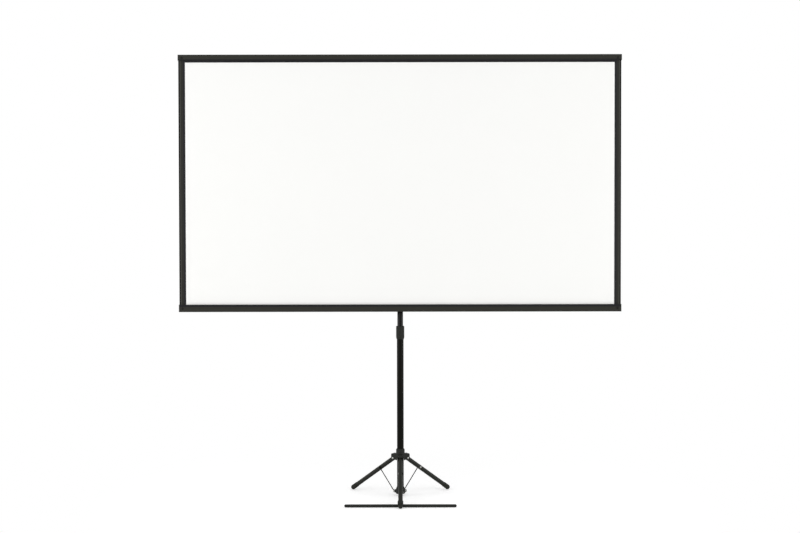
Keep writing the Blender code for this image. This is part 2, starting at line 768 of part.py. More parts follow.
def build_hub(mast, spokes):
    top = HUB_BOTTOM + HUB_HEIGHT
    hub = turned(
        [
            (0, top),
            (HUB_RADIUS - HUB_SHOULDER, top),
            (HUB_RADIUS - HUB_SHOULDER / 4, top - HUB_SHOULDER / 2),
            (HUB_RADIUS, top - HUB_SHOULDER),
            (HUB_RADIUS, HUB_BOTTOM),
            (0, HUB_BOTTOM),
        ]
    )
    part(hub, "leg_hub", "matte_grey_nylon", mast)
    reach = HUB_PIVOT_RADIUS + CLEVIS_REACH
    roof = HUB_PIVOT_HEIGHT + CLEVIS_ABOVE
    floor = HUB_BOTTOM + GAP
    clevis_outline = rounded(
        [
            (0, floor, 0),
            (0, roof, 0),
            (reach, roof, CLEVIS_ROUND),
            (reach, floor, CLEVIS_ROUND),
        ]
    )
    slot_start = HUB_PIVOT_RADIUS - LEG_RADIUS - GAP
    slot_top = HUB_PIVOT_HEIGHT + LEG_RADIUS + GAP
    slot_length = reach - slot_start + OVERRUN
    slot_height = slot_top - floor + OVERRUN
    for name, spoke in spokes.items():
        clevis = extruded(clevis_outline, 2 * CLEVIS_SIDE)
        join(hub, tool(clevis, f"clevis_{name}", spoke, rotation=ACROSS_Y))
    for name, spoke in spokes.items():
        slot = block((slot_length, 2 * CHEEK_FACE, slot_height))
        place = (slot_start + slot_length / 2, 0, slot_top - slot_height / 2)
        cut(hub, tool(slot, f"leg_slot_{name}", spoke, place))
        hole = rod(bore(PIN_RADIUS, PIN_STEPS), -CLEVIS_SIDE - OVERRUN, CLEVIS_SIDE + OVERRUN)
        place = (HUB_PIVOT_RADIUS, 0, HUB_PIVOT_HEIGHT)
        cut(hub, tool(hole, f"hub_pin_hole_{name}", spoke, place, ACROSS_Y))
    knob_height = HUB_BOTTOM + KNOB_HEIGHT_ON_HUB
    boss_end = HUB_RADIUS + KNOB_BOSS_REACH
    knob_axis = pivot("knob_axis", mast, (0, 0, knob_height), (math.radians(-90), 0, 0))
    join(hub, tool(rod(KNOB_BOSS_RADIUS, 0, boss_end, ROUND_STEPS), "knob_boss", knob_axis))
    stem_hole = rod(bore(KNOB_STEM_RADIUS, PIN_STEPS), 0, boss_end + OVERRUN)
    cut(hub, tool(stem_hole, "knob_hole", knob_axis))
    mast_hole = rod(bore(LOWER_MAST_RADIUS), HUB_BOTTOM - OVERRUN, top + OVERRUN, ROUND_STEPS)
    cut(hub, tool(mast_hole, "hub_bore", mast))
    build_knob(knob_axis, boss_end + GAP)


def build_knob(axis, start):
    """A lobed knob on a stem whose tip comes up to the mast."""
    points = KNOB_LOBES * KNOB_POINTS_PER_LOBE
    outline = []
    for i in range(points):
        angle = 2 * math.pi * i / points
        radius = KNOB_RADIUS - KNOB_LOBE_DEPTH * (1 - math.cos(KNOB_LOBES * angle)) / 2
        outline.append((radius * math.cos(angle), radius * math.sin(angle)))
    knob = extruded(outline, KNOB_THICKNESS)
    middle = start + KNOB_THICKNESS / 2
    part(knob, "hub_knob", "moulded_black", axis, (0, 0, middle))
    tip = bore(LOWER_MAST_RADIUS) + GAP
    join(knob, tool(rod(KNOB_STEM_RADIUS, tip, middle), "knob_stem", axis))


def build_leg(name, leg, tube_end):
    """One leg tube with a domed solid top, its pin in the hub and its rivet for the brace."""
    inner = LEG_RADIUS - LEG_WALL
    profile = [(0, LEG_PLUG), (inner, LEG_PLUG), (inner, tube_end), (LEG_RADIUS, tube_end)]
    profile += dome(LEG_RADIUS, 0, -1)
    tube_piece = part(
        turned(profile), f"leg_{name}", "black_powder_coat", leg, rotation=ALONG_X
    )
    pin_hole = rod(bore(PIN_RADIUS, PIN_STEPS), -LEG_RADIUS - OVERRUN, LEG_RADIUS + OVERRUN)
    cut(tube_piece, tool(pin_hole, f"leg_pin_hole_{name}", leg, rotation=ACROSS_Y))
    rivet(
        f"leg_pin_{name}",
        PIN_RADIUS,
        PIN_HEAD_RADIUS,
        PIN_HEAD_HEIGHT,
        -CLEVIS_SIDE - GAP,
        CLEVIS_SIDE + GAP,
        leg,
        ACROSS_Y,
    )
    joint = pivot(f"rivet_axis_{name}", leg, (BRACE_ALONG_LEG, 0, 0))
    hole = rod(bore(RIVET_RADIUS, PIN_STEPS), -LEG_RADIUS - OVERRUN, LEG_RADIUS + OVERRUN)
    cut(tube_piece, tool(hole, f"rivet_hole_{name}", joint, rotation=ACROSS_Y))
    rivet(
        f"leg_rivet_{name}",
        RIVET_RADIUS,
        RIVET_HEAD_RADIUS,
        RIVET_HEAD_HEIGHT,
        -LEG_RADIUS + GAP,
        LEG_RADIUS + GAP,
        joint,
        ACROSS_Y,
        both_heads=False,
    )


def build_rear_foot(name, leg, floor_block):
    """A rubber sleeve over the end of a leg, with a ball end cut flat on the floor."""
    socket = bore(LEG_RADIUS)
    outer = LEG_RADIUS + GAP / 2 + FOOT_WALL
    start = LEG_REACH - FOOT_SLEEVE
    socket_end = LEG_REACH - FOOT_FLOOR
    profile = dome(outer, LEG_REACH, 1)[::-1]
    profile += [
        (outer, start + FOOT_WALL / 2),
        (outer - FOOT_WALL / 2, start),
        (socket, start),
        (socket, socket_end),
        (0, socket_end),
    ]
    foot = part(turned(profile), f"foot_cap_{name}", "rubber", leg, rotation=ALONG_X)
    cut(foot, floor_block)


def build_front_foot(leg, floor_block):
    """A rubber plug in the end of the front leg, with a ball end cut flat on the floor."""
    spigot = LEG_RADIUS - LEG_WALL - GAP
    start = SADDLE_END + 2 * GAP
    profile = dome(LEG_RADIUS, FRONT_FOOT_ALONG, 1)[::-1]
    profile += [
        (LEG_RADIUS, start),
        (spigot, start),
        (spigot, start - FRONT_FOOT_SPIGOT),
        (0, start - FRONT_FOOT_SPIGOT),
    ]
    foot = part(turned(profile), "foot_cap_front", "rubber", leg, rotation=ALONG_X)
    cut(foot, floor_block)


def build_wings(leg):
    """The saddle round the front leg, and the two wings that turn on its ears."""
    outer = LEG_RADIUS + GAP + SADDLE_WALL
    start = WING_ALONG - SADDLE_LENGTH / 2
    saddle = rod(outer, start, SADDLE_END, ROUND_STEPS)
    part(saddle, "wing_saddle", "matte_grey_nylon", leg, rotation=ALONG_X)
    ear_reach = WING_SPREAD + EAR_ROUND
    ears = extruded(
        rounded(
            [
                (-EAR_ROUND, -ear_reach, EAR_ROUND - GAP),
                (EAR_ROUND, -ear_reach, EAR_ROUND - GAP),
                (EAR_ROUND, ear_reach, EAR_ROUND - GAP),
                (-EAR_ROUND, ear_reach, EAR_ROUND - GAP),
            ]
        ),
        EAR_THICKNESS,
    )
    ear_middle = EAR_BOTTOM + EAR_THICKNESS / 2
    join(saddle, tool(ears, "saddle_ears", leg, (WING_ALONG, 0, ear_middle)))
    stub = rod(WING_RADIUS - GAP, -BRACE_SIDE, BRACE_SIDE, ROUND_STEPS // 2)
    join(saddle, tool(stub, "saddle_stub", leg, (WING_ALONG, 0, -WING_DROP), ACROSS_Y))
    web_height = EAR_BOTTOM + WING_DROP + EAR_THICKNESS / 2
    web = block((EAR_ROUND, 2 * BRACE_SIDE - 2 * GAP, web_height))
    place = (WING_ALONG, 0, -WING_DROP + web_height / 2)
    join(saddle, tool(web, "saddle_web", leg, place))
    hole = rod(bore(LEG_RADIUS), start - OVERRUN, SADDLE_END + OVERRUN, ROUND_STEPS)
    cut(saddle, tool(hole, "saddle_bore", leg, rotation=ALONG_X))
    for name, side in SIDES.items():
        # The front leg points at the viewer, so its own left is the object's right.
        wing_pivot = pivot(f"wing_axis_{name}", leg, (WING_ALONG, side * WING_SPREAD, 0))
        profile = dome(WING_TIP_RADIUS, WING_LENGTH - WING_TIP_RADIUS, 1)[::-1]
        profile += dome(WING_RADIUS, 0, -1)
        wing = turned(profile, ROUND_STEPS // 2)
        heading = (math.radians(-90) * side, 0, 0)
        part(wing, f"wing_{name}", "matte_grey_nylon", wing_pivot, (0, 0, -WING_DROP), heading)
        low = -WING_DROP - WING_RADIUS + GAP
        ear_top = EAR_BOTTOM + EAR_THICKNESS
        pin_hole = rod(bore(RIVET_RADIUS, PIN_STEPS), low - OVERRUN, ear_top + OVERRUN)
        hole_tool = tool(pin_hole, f"wing_pin_hole_{name}", wing_pivot)
        cut(wing, hole_tool)
        cut(saddle, hole_tool)
        rivet(
            f"wing_pin_{name}",
            RIVET_RADIUS,
            RIVET_HEAD_RADIUS,
            RIVET_HEAD_HEIGHT,
            low,
            ear_top + GAP,
            wing_pivot,
            (0, 0, 0),
            both_heads=False,
            finish="black_oxide",
        )


def build_lower_collar(mast, spokes):
    top = COLLAR_BOTTOM + COLLAR_HEIGHT
    collar = turned(
        rounded(
            [
                (0, top, 0),
                (LOWER_MAST_RADIUS + COLLAR_LIP, top, 0),
                (COLLAR_RADIUS - COLLAR_LIP / 2, COLLAR_BOTTOM + COLLAR_SHOULDER_HEIGHT, 0),
                (COLLAR_RADIUS, COLLAR_BOTTOM + COLLAR_BELLY_HEIGHT, 0),
                (COLLAR_RADIUS - COLLAR_LIP / 4, COLLAR_BOTTOM, COLLAR_ROUND),
                (0, COLLAR_BOTTOM, 0),
            ]
        )
    )
    part(collar, "lower_collar", "matte_grey_nylon", mast)
    eye_round = EYE_RADIUS - GAP
    lug_outline = rounded(
        [
            (0, BRACE_FOOT_HEIGHT - EYE_RADIUS, 0),
            (0, BRACE_FOOT_HEIGHT + EYE_RADIUS, 0),
            (BRACE_FOOT_RADIUS + EYE_RADIUS, BRACE_FOOT_HEIGHT + EYE_RADIUS, eye_round),
            (BRACE_FOOT_RADIUS + EYE_RADIUS, BRACE_FOOT_HEIGHT - EYE_RADIUS, eye_round),
        ]
    )
    lug_middle = LUG_FACE - LUG_WIDTH / 2
    for name, spoke in spokes.items():
        lug = extruded(lug_outline, LUG_WIDTH)
        join(collar, tool(lug, f"lug_{name}", spoke, (0, lug_middle, 0), ACROSS_Y))
    for name, spoke in spokes.items():
        hole = rod(bore(RIVET_RADIUS, PIN_STEPS), -LUG_FACE - OVERRUN, LUG_WIDTH + OVERRUN)
        place = (BRACE_FOOT_RADIUS, 0, BRACE_FOOT_HEIGHT)
        cut(collar, tool(hole, f"lug_hole_{name}", spoke, place, ACROSS_Y))
    mast_hole = rod(
        bore(LOWER_MAST_RADIUS), COLLAR_BOTTOM + COLLAR_FLOOR, top + OVERRUN, ROUND_STEPS
    )
    cut(collar, tool(mast_hole, "collar_bore", mast))


def build_brace(name, spoke):
    """A wire with a flattened eye at each end, beside its leg, and its pin in the lower collar."""
    foot = pivot(
        f"brace_axis_{name}",
        spoke,
        (BRACE_FOOT_RADIUS, 0, BRACE_FOOT_HEIGHT),
        (0, -BRACE_SLOPE, 0),
    )
    brace = wire((0, WIRE_SIDE, 0), (BRACE_LENGTH, WIRE_SIDE, 0), WIRE_RADIUS)
    part(brace, f"brace_{name}", "black_powder_coat", foot)
    eye_low = -EYE_FACE - EYE_THICKNESS
    for end, along in (("lower", 0), ("upper", BRACE_LENGTH)):
        eye = rod(EYE_RADIUS, eye_low, -EYE_FACE, ROUND_STEPS // 2)
        join(brace, tool(eye, f"{end}_eye_{name}", foot, (along, 0, 0), ACROSS_Y))
    head = rod(RIVET_HEAD_RADIUS, -BRACE_SIDE, eye_low + GAP)
    join(brace, tool(head, f"upper_head_{name}", foot, (BRACE_LENGTH, 0, 0), ACROSS_Y))
    low = -WIRE_SIDE - WIRE_RADIUS - GAP
    hole = rod(bore(RIVET_RADIUS, PIN_STEPS), low - OVERRUN, -EYE_FACE + OVERRUN)
    cut(brace, tool(hole, f"eye_hole_{name}", foot, rotation=ACROSS_Y))
    rivet(
        f"brace_pin_{name}",
        RIVET_RADIUS,
        RIVET_HEAD_RADIUS,
        RIVET_HEAD_HEIGHT,
        low,
        LUG_WIDTH - LUG_FACE + GAP,
        foot,
        ACROSS_Y,
    )


def build_case(mast):
    """The case: its channel faces up, so its section is turned over."""
    holder = pivot("case_frame", mast, (0, -CASE_AHEAD, CASE_TOP))
    holder.scale = (1, 1, -1)
    slot_ahead = -FABRIC_Y - CASE_AHEAD
    body = channel(
        "case_body",
        CASE_DEPTH,
        CASE_HEIGHT,
        CASE_WALL,
        CASE_SLOT,
        CASE_STRIP,
        slot_ahead,
        holder,
    )
    for name, side in SIDES.items():
        cap = end_cap(
            f"case_{name}",
            side,
            body,
            CASE_DEPTH,
            CASE_HEIGHT,
            CASE_WALL,
            CASE_SLOT,
            CASE_STRIP,
            slot_ahead,
            holder,
        )
        build_roller_end(name, side, cap, mast)
    return body


def build_roller_end(name, side, cap, mast):
    """The pin that stands in from an end cap, and the plug that turns on it."""
    outer_end = OVERALL_WIDTH / 2 - GAP
    axis = pivot(
        f"roller_end_{name}",
        mast,
        (0, ROLLER_Y, CASE_MIDDLE),
        (0, math.radians(90) * side, 0),
    )
    hole = rod(bore(ARBOR_RADIUS, PIN_STEPS), INNER_WIDTH / 2 - OVERRUN, outer_end + OVERRUN)
    cut(cap, tool(hole, f"arbor_hole_{name}", axis))
    length = ARBOR_LENGTH if side < 0 else GUDGEON_LENGTH
    title = "roller_arbor" if side < 0 else "roller_gudgeon"
    pin = rod(ARBOR_RADIUS, outer_end - length, outer_end)
    part(pin, title, "zinc", axis)
    plug = tube(
        ROLLER_RADIUS - ROLLER_WALL - GAP,
        bore(ARBOR_RADIUS, PIN_STEPS),
        FABRIC_WIDTH / 2 - PLUG_LENGTH,
        FABRIC_WIDTH / 2,
        PIN_STEPS,
    )
    part(plug, f"roller_plug_{name}", "matte_grey_nylon", axis)


def build_roller(mast):
    axis = pivot("roller_axis", mast, (0, ROLLER_Y, CASE_MIDDLE), ALONG_X)
    half = FABRIC_WIDTH / 2
    roller = tube(ROLLER_RADIUS, ROLLER_RADIUS - ROLLER_WALL, -half, half)
    part(roller, "roller_tube", "roller_steel", axis)
    wrap = tube(WRAP_OUTER, bore(ROLLER_RADIUS) + GAP / 2, -half, half)
    part(wrap, "fabric_wrap", "white_screen", axis)
    spring_start = PLUG_LENGTH + GAP - half
    spring = tube(
        SPRING_RADIUS,
        ARBOR_RADIUS + SPRING_PLAY,
        spring_start,
        spring_start + SPRING_LENGTH,
        PIN_STEPS,
    )
    part(spring, "roller_spring", "spring_steel", axis)


def build_fabric(mast):
    """The stretched fabric, with a thicker hem down each side, and the keder rod along its top."""
    low = CASE_MIDDLE
    high = BAR_BOTTOM + BAR_WALL
    half = FABRIC_WIDTH / 2
    back = FABRIC_THICKNESS / 2
    front = -back
    hem_front = back - HEM_THICKNESS
    hem = half - HEM_WIDTH
    plan = [
        (-half, back),
        (-half, hem_front),
        (-hem, hem_front),
        (-hem, front),
        (hem, front),
        (hem, hem_front),
        (half, hem_front),
        (half, back),
    ]
    fabric = extruded(plan, high - low)
    part(fabric, "screen_fabric", "white_screen", mast, (0, FABRIC_Y, (low + high) / 2))
    keder_axis = pivot(
        "keder_axis", mast, (0, FABRIC_Y, high + GAP + KEDER_RADIUS), ALONG_X
    )
    part(rod(KEDER_RADIUS, -half, half), "keder_rod", "clear_plastic", keder_axis)


def build_top_bar(mast):
    holder = pivot("bar_frame", mast, (0, FABRIC_Y, BAR_BOTTOM))
    body = channel(
        "top_bar", BAR_DEPTH, BAR_HEIGHT, BAR_WALL, BAR_SLOT, BAR_STRIP, 0, holder
    )
    for name, side in SIDES.items():
        end_cap(
            f"bar_{name}",
            side,
            body,
            BAR_DEPTH,
            BAR_HEIGHT,
            BAR_WALL,
            BAR_SLOT,
            BAR_STRIP,
            0,
            holder,
        )
    return body


def build_bracket(mast, case_body):
    """A sleeve round the middle mast with a plate that is screwed to the back of the case."""
    sleeve_top = MIDDLE_MAST_TOP - GAP
    sleeve_bottom = sleeve_top - BRACKET_SLEEVE_HEIGHT
    plate_top = CASE_TOP - BRACKET_MARGIN
    plate_bottom = sleeve_bottom - BRACKET_MARGIN
    plate_middle = CASE_REAR + GAP + BRACKET_PLATE / 2
    plate = block((BRACKET_WIDTH, BRACKET_PLATE, plate_top - plate_bottom))
    place = (0, plate_middle, (plate_top + plate_bottom) / 2)
    bracket = part(plate, "case_bracket", "matte_grey_nylon", mast, place)
    outer = MIDDLE_MAST_RADIUS + GAP + BRACKET_WALL
    sleeve = rod(outer, sleeve_bottom, sleeve_top, ROUND_STEPS)
    join(bracket, tool(sleeve, "bracket_sleeve", mast))
    hole = rod(
        bore(MIDDLE_MAST_RADIUS), sleeve_bottom - OVERRUN, sleeve_top + OVERRUN, ROUND_STEPS
    )
    cut(bracket, tool(hole, "bracket_bore", mast))
    plate_back = plate_middle + BRACKET_PLATE / 2
    grip = BRACKET_PLATE + GAP + CASE_WALL + SCREW_TAIL
    for name, side in SIDES.items():
        place = (side * BRACKET_SCREW_SPREAD, plate_back, CASE_MIDDLE)
        seat = pivot(f"bracket_screw_axis_{name}", mast, place, (math.radians(-90), 0, 0))
        hole = screw(f"bracket_screw_{name}", seat, grip)
        cut(bracket, hole)
        cut(case_body, hole)


def build_hanger(mast, bar_body):
    """A cap on the upper rod with an arm and a plate that is screwed to the back of the top bar."""
    top = HANGER_BOTTOM + HANGER_HEIGHT
    middle = (HANGER_BOTTOM + top) / 2
    socket = bore(UPPER_ROD_RADIUS)
    head = rod(socket + HANGER_WALL, HANGER_BOTTOM, top, ROUND_STEPS)
    hanger = part(head, "bar_hanger", "matte_grey_nylon", mast)
    plate_front = BAR_REAR + GAP
    plate_back = plate_front + HANGER_PLATE
    arm = block((HANGER_ARM_WIDTH, -plate_front, HANGER_HEIGHT - 2 * HANGER_MARGIN))
    join(hanger, tool(arm, "hanger_arm", mast, (0, plate_front / 2, middle)))
    plate_low = BAR_BOTTOM + HANGER_MARGIN
    plate_high = BAR_BOTTOM + BAR_HEIGHT - HANGER_MARGIN
    plate = block((HANGER_WIDTH, HANGER_PLATE, plate_high - plate_low))
    place = (0, (plate_front + plate_back) / 2, (plate_low + plate_high) / 2)
    join(hanger, tool(plate, "hanger_plate", mast, place))
    hole = rod(socket, HANGER_BOTTOM - OVERRUN, UPPER_ROD_TOP + GAP, ROUND_STEPS)
    cut(hanger, tool(hole, "hanger_socket", mast))
    grip = HANGER_PLATE + GAP + BAR_WALL + SCREW_TAIL
    for name, side in SIDES.items():
        place = (side * HANGER_SCREW_SPREAD, plate_back, (plate_low + plate_high) / 2)
        seat = pivot(f"hanger_screw_axis_{name}", mast, place, (math.radians(-90), 0, 0))
        hole = screw(f"hanger_screw_{name}", seat, grip)
        cut(hanger, hole)
        cut(bar_body, hole)


def build_tripod(mast):
    floor_depth = FOOT_RADIUS
    floor_side = 2 * (FRONT_REACH + REAR_REACH)
    floor_block = tool(
        block((floor_side, floor_side, floor_depth), (0, 0, -floor_depth / 2)), "floor", None
    )
    spokes = {}
    for name, heading in LEG_HEADINGS.items():
        spokes[name] = pivot(f"spoke_{name}", mast, rotation=(0, 0, heading))
    build_hub(mast, spokes)
    build_lower_collar(mast, spokes)
    for name, spoke in spokes.items():
        leg = pivot(
            f"leg_axis_{name}",
            spoke,
            (HUB_PIVOT_RADIUS, 0, HUB_PIVOT_HEIGHT),
            (0, LEG_SLOPE, 0),
        )
        build_brace(name, spoke)
        if name == "front":
            build_leg(name, leg, SADDLE_END)
            build_front_foot(leg, floor_block)
            build_wings(leg)
        else:
            build_leg(name, leg, LEG_REACH - FOOT_FLOOR - GAP)
            build_rear_foot(name, leg, floor_block)


def build():
    mast = pivot("mast_axis", location=(0, MAST_Y, 0))
    build_mast(mast)
    build_twist_collar(mast)
    build_tripod(mast)
    case_body = build_case(mast)
    build_roller(mast)
    build_fabric(mast)
    bar_body = build_top_bar(mast)
    build_bracket(mast, case_body)
    build_hanger(mast, bar_body)


build()
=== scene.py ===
"""Dresses a pull up projection screen on a folding tripod in its real finishes.
"""

import json
import math

import bmesh
import bpy
from bpy.props import FloatProperty, FloatVectorProperty, IntProperty, PointerProperty
from mathutils import Matrix, Vector


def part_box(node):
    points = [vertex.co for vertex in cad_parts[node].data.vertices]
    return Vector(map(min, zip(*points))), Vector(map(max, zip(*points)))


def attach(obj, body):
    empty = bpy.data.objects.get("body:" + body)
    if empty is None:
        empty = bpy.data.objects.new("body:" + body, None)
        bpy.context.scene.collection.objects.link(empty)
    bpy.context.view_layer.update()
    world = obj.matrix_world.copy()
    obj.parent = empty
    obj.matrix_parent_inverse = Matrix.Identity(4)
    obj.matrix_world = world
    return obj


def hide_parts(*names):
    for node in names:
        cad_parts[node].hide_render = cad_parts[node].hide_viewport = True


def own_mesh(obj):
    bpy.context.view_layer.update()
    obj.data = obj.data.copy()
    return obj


bl_info = {
    "name": "Pull Up Projection Screen",
    "version": (1, 0, 0),
    "blender": (4, 5, 0),
    "location": "View3D > Sidebar > Screen",
    "description": "Makes the fabric, case, mast and tripod of a pull up projection screen",
    "category": "Object",
}

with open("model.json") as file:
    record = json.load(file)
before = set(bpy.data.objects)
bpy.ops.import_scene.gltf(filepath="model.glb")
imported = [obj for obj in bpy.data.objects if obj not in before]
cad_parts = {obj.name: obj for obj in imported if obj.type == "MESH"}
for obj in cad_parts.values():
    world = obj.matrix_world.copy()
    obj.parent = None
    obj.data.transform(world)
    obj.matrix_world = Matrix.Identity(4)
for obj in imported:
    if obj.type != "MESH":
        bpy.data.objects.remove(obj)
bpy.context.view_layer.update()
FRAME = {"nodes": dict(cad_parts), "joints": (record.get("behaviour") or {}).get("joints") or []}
JOINTS = {joint["name"]: joint for joint in FRAME["joints"]}
SIDES = {"left": -1, "right": 1}
LEGS = ("front", "right", "left")
MILLIMETRE = 0.001
ON_AXIS = 0.000001
SQUARE = ((-1, -1), (1, -1), (1, 1), (-1, 1))
MERGED = ON_AXIS * 5
FLAT = ON_AXIS * 10
# Steps round a circle. A bore's steps differ from its bar's, so that the cut meets no shared faces.
FINE_STEPS, ROUND_STEPS, SMALL_STEPS = 96, 64, 32
WELL_STEPS, BORE_STEPS, RING_BORE_STEPS, STEM_STEPS = 48, 88, 58, 50
TURN_STEPS, WIRE_STEPS, COIL_STEPS, EASE_STEPS = 48, 8, 16, 3
SHEET_COLUMNS, SHEET_ROWS = 60, 24
PAST = 0.01  # how far a cut reaches beyond the form that it cuts
SLIDE_PLAY, BORE_PLAY = 0.0002, 0.0003
FLOOR_REACH, FLOOR_LIFT, FADE_START, FADE_END = 30, 0.37, 0.5, 1.3
SURROUNDING_LIGHT = 0.62
FINE_EDGE, EDGE, SOFT_EDGE, KNOB_EDGE = 0.0003, 0.0004, 0.0008, 0.001
ROUNDED, SOFTENED = 0.0012, 0.0006
SLOT_CORNER, EAR_INSET = 0.003, 0.0004
WING_TAPER = 0.97  # a wing's radius at its tip, as a share of that at its pin
BAR_INSET = 0.0001  # how much thinner than a wing the saddle's bar is
SPIGOT_SHARE, SPIGOT_LENGTH, SEAT_INSET = 0.84, 0.012, 0.0036
WELD_RISE = 1.8  # how far weld and binding stand out, in rises of the hem
WAVES = (23, 9, 2)  # faint waves in the fabric, in radians for each metre
SCREW = (0.0036, 0.0009)  # radius and height of the head
# Radius of the pin, and radius and height of its head.
LEG_PIN, BRACE_PIN = (0.0025, 0.004, 0.0015), (0.002, 0.0036, 0.0012)
RIVET, WING_PIN = (0.002, 0.0038, 0.0016), (0.0015, 0.0028, 0.0009)
# Name, watts, width, height, position and target.
LAMPS = (
    ("key_lamp", 51, 2.6, 2.2, (-3.1, -3.9, 1.7), (0, 0, 1.0)),
    ("fill_lamp", 40, 2.2, 2.2, (3.3, -3.6, 1.5), (0, 0, 1.0)),
    ("left_lamp", 120, 1.6, 2.6, (-6.2, -1.2, 1.2), (0, 0, 0.8)),
    ("right_lamp", 110, 1.6, 2.6, (6.2, -1.2, 1.2), (0, 0, 0.8)),
)
UPRIGHT = Matrix.Rotation(math.radians(90), 4, "X")
ALONG_X = Matrix.Rotation(math.radians(90), 4, "Y")
INTO_SCREEN = Matrix.Rotation(math.radians(-90), 4, "X")


def linear(code):
    """An sRGB hex colour as linear red, green, blue and alpha."""
    parts = [int(code[i : i + 2], 16) / 255 for i in (0, 2, 4)]
    return [c / 12.92 if c <= 0.04045 else ((c + 0.055) / 1.055) ** 2.4 for c in parts] + [1]


def size(name, description, value):
    """A length in metres that a user can change."""
    return FloatProperty(
        name=name, description=description, default=value, min=0, unit="LENGTH", precision=5
    )


def colour(name, description, code):
    """A colour that a user can change."""
    return FloatVectorProperty(
        name=name,
        description=description,
        subtype="COLOR",
        size=4,
        min=0,
        max=1,
        default=linear(code),
    )


class ScreenSizes(bpy.types.PropertyGroup):
    """Sizes that the finished pieces add to the frame's own."""

    side_border: size("Side border", "Black print beside the picture", 0.0277)
    top_border: size("Top border", "Black print above the picture", 0.008)
    hem_width: size("Hem width", "Welded hem down each side of the fabric", 0.0185)
    hem_rise: size("Hem rise", "How far the hem stands in front of the fabric", 0.0002)
    binding_width: size("Binding width", "Folded tape along the hem's outer edge", 0.0055)
    weld_width: size("Weld width", "Raised weld beside the binding", 0.0014)
    sheet_thickness: size("Fabric thickness", "Coated fabric, front to back", 0.0003)
    sheet_ripple: size("Fabric ripple", "Depth of the faint upright waves", 0.0004)
    case_wall: size("Case wall", "Wall of the case's extrusion", 0.0015)
    case_slot: size("Case slot", "Slot that the fabric comes out of", 0.004)
    case_strip: size("Case strip", "Recessed strip along the case's front", 0.009)
    bar_wall: size("Bar wall", "Wall of the top bar's extrusion", 0.0014)
    bar_slot: size("Bar slot", "Slot that the fabric goes up into", 0.003)
    bar_strip: size("Bar strip", "Recessed strip along the bar's front", 0.004)
    strip_step: size("Strip step", "Depth of the recessed strip", 0.0008)
    edge_chamfer: size("Edge chamfer", "Chamfer on the far front edge", 0.0045)
    edge_round: size("Rear corner", "Radius of the rear corners", 0.002)
    ease: size("Eased edge", "Radius that a tool leaves on a sharp edge", 0.0004)
    well_radius: size("Well radius", "Hole in the front wall over each cap screw", 0.0045)
    mast_wall: size("Mast wall", "Wall of both mast tubes", 0.0012)
    rod_wall: size("Rod wall", "Wall of both rods", 0.001)
    leg_radius: size("Leg radius", "Radius of the leg tubes", 0.0091)
    hub_radius: size("Hub radius", "Sleeve of the leg hub", 0.018)
    hub_shoulder: size("Hub shoulder", "Rounded top of the hub's sleeve", 0.004)
    ear_reach: size("Ear reach", "How far an ear goes past its pin", 0.008)
    ear_rise: size("Ear rise", "How far an ear goes above its pin", 0.0185)
    ear_side: size("Ear side", "Half the width of an ear over both cheeks", 0.0123)
    ear_corner: size("Ear corner", "Radius of an ear's outer corners", 0.0028)
    ear_play: size("Ear play", "Room round a leg in its ear", 0.0004)
    knob_boss: size("Knob boss", "Radius of the boss that the knob screws into", 0.0065)
    knob_reach: size("Knob reach", "How far the boss stands out of the hub", 0.005)
    bowl_radius: size("Lower collar", "Widest radius of the lower collar", 0.0212)
    lug_reach: size("Lug reach", "From the mast's axis to a lug's end", 0.0287)
    lug_height: size("Lug height", "Height of a lug", 0.0115)
    lug_face: size("Lug face", "From a lug's middle plane to its brace side", 0.0091)
    lug_back: size("Lug back", "From a lug's middle plane to its plain side", 0.004)
    saddle_wall: size("Saddle wall", "Wall of the ring on the front leg", 0.0024)
    web_width: size("Saddle web", "Width of the web under the ring", 0.021)
    tongue: size("Wing tongue", "Thickness of a wing's tongue", 0.0046)
    wing_radius: size("Wing radius", "Radius of a wing at its pin", 0.0062)
    wing_reach: size("Wing reach", "From the leg's axis to a wing's tip", 0.2248)
    wing_play: size("Wing play", "Room round a wing's tongue", 0.0005)
    flute_depth: size("Flute depth", "Depth of the flutes in the twist collar", 0.0011)
    spring_wire: size("Spring wire", "Diameter of the roller spring's wire", 0.0014)
    flutes: IntProperty(
        name="Flutes", description="Flutes round the twist collar", default=12, min=3
    )
    spring_turns: IntProperty(
        name="Spring turns", description="Turns of the roller spring", default=100, min=10
    )
    wound_turns: IntProperty(
        name="Wound turns", description="Turns of fabric that stay on the roller", default=2, min=1
    )


class ScreenColours(bpy.types.PropertyGroup):
    """Colours of the finishes."""

    extrusion: colour("Anodised extrusion", "Case and top bar", "2B2B27")
    tape: colour("Flocked tape", "Strip beside the fabric's slot", "28282A")
    moulding: colour("Moulded caps", "End caps and knob", "292926")
    nylon: colour("Moulded nylon", "Hub, collars, brackets and wings", "242522")
    powder: colour("Powder coat", "Legs", "22231F")
    mast: colour("Mast enamel", "Lower mast tube and brace wires", "0E0E0A")
    gloss: colour("Gloss enamel", "Middle mast tube and rods", "060605")
    zinc: colour("Zinc plate", "Rivets and pins", "A6A7A3")
    oxide: colour("Black oxide", "Screws and wing pins", "2C2C2B")
    rubber: colour("Rubber", "Feet", "252622")
    screen: colour("Screen coating", "Front of the fabric", "F5F5F3")
    border: colour("Border print", "Black border of the picture", "28282A")
    hem: colour("Hem", "Welded hems down the sides", "2D2D29")
    # The binding's darker colour is painted shade, for the shade along the fabric's rounded outer
    # edge.
    binding: colour("Binding", "Folded tape along the hems", "1C1C1A")
    # The weld's paler colour is a painted highlight, for the light line along the hem.
    weld: colour("Weld", "Raised weld beside the binding", "4E4E48")
    backing: colour("Backing", "Back of the fabric", "1E1E1F")


class ScreenSettings(bpy.types.PropertyGroup):
    """All settings of the screen."""

    sizes: PointerProperty(type=ScreenSizes)
    colours: PointerProperty(type=ScreenColours)


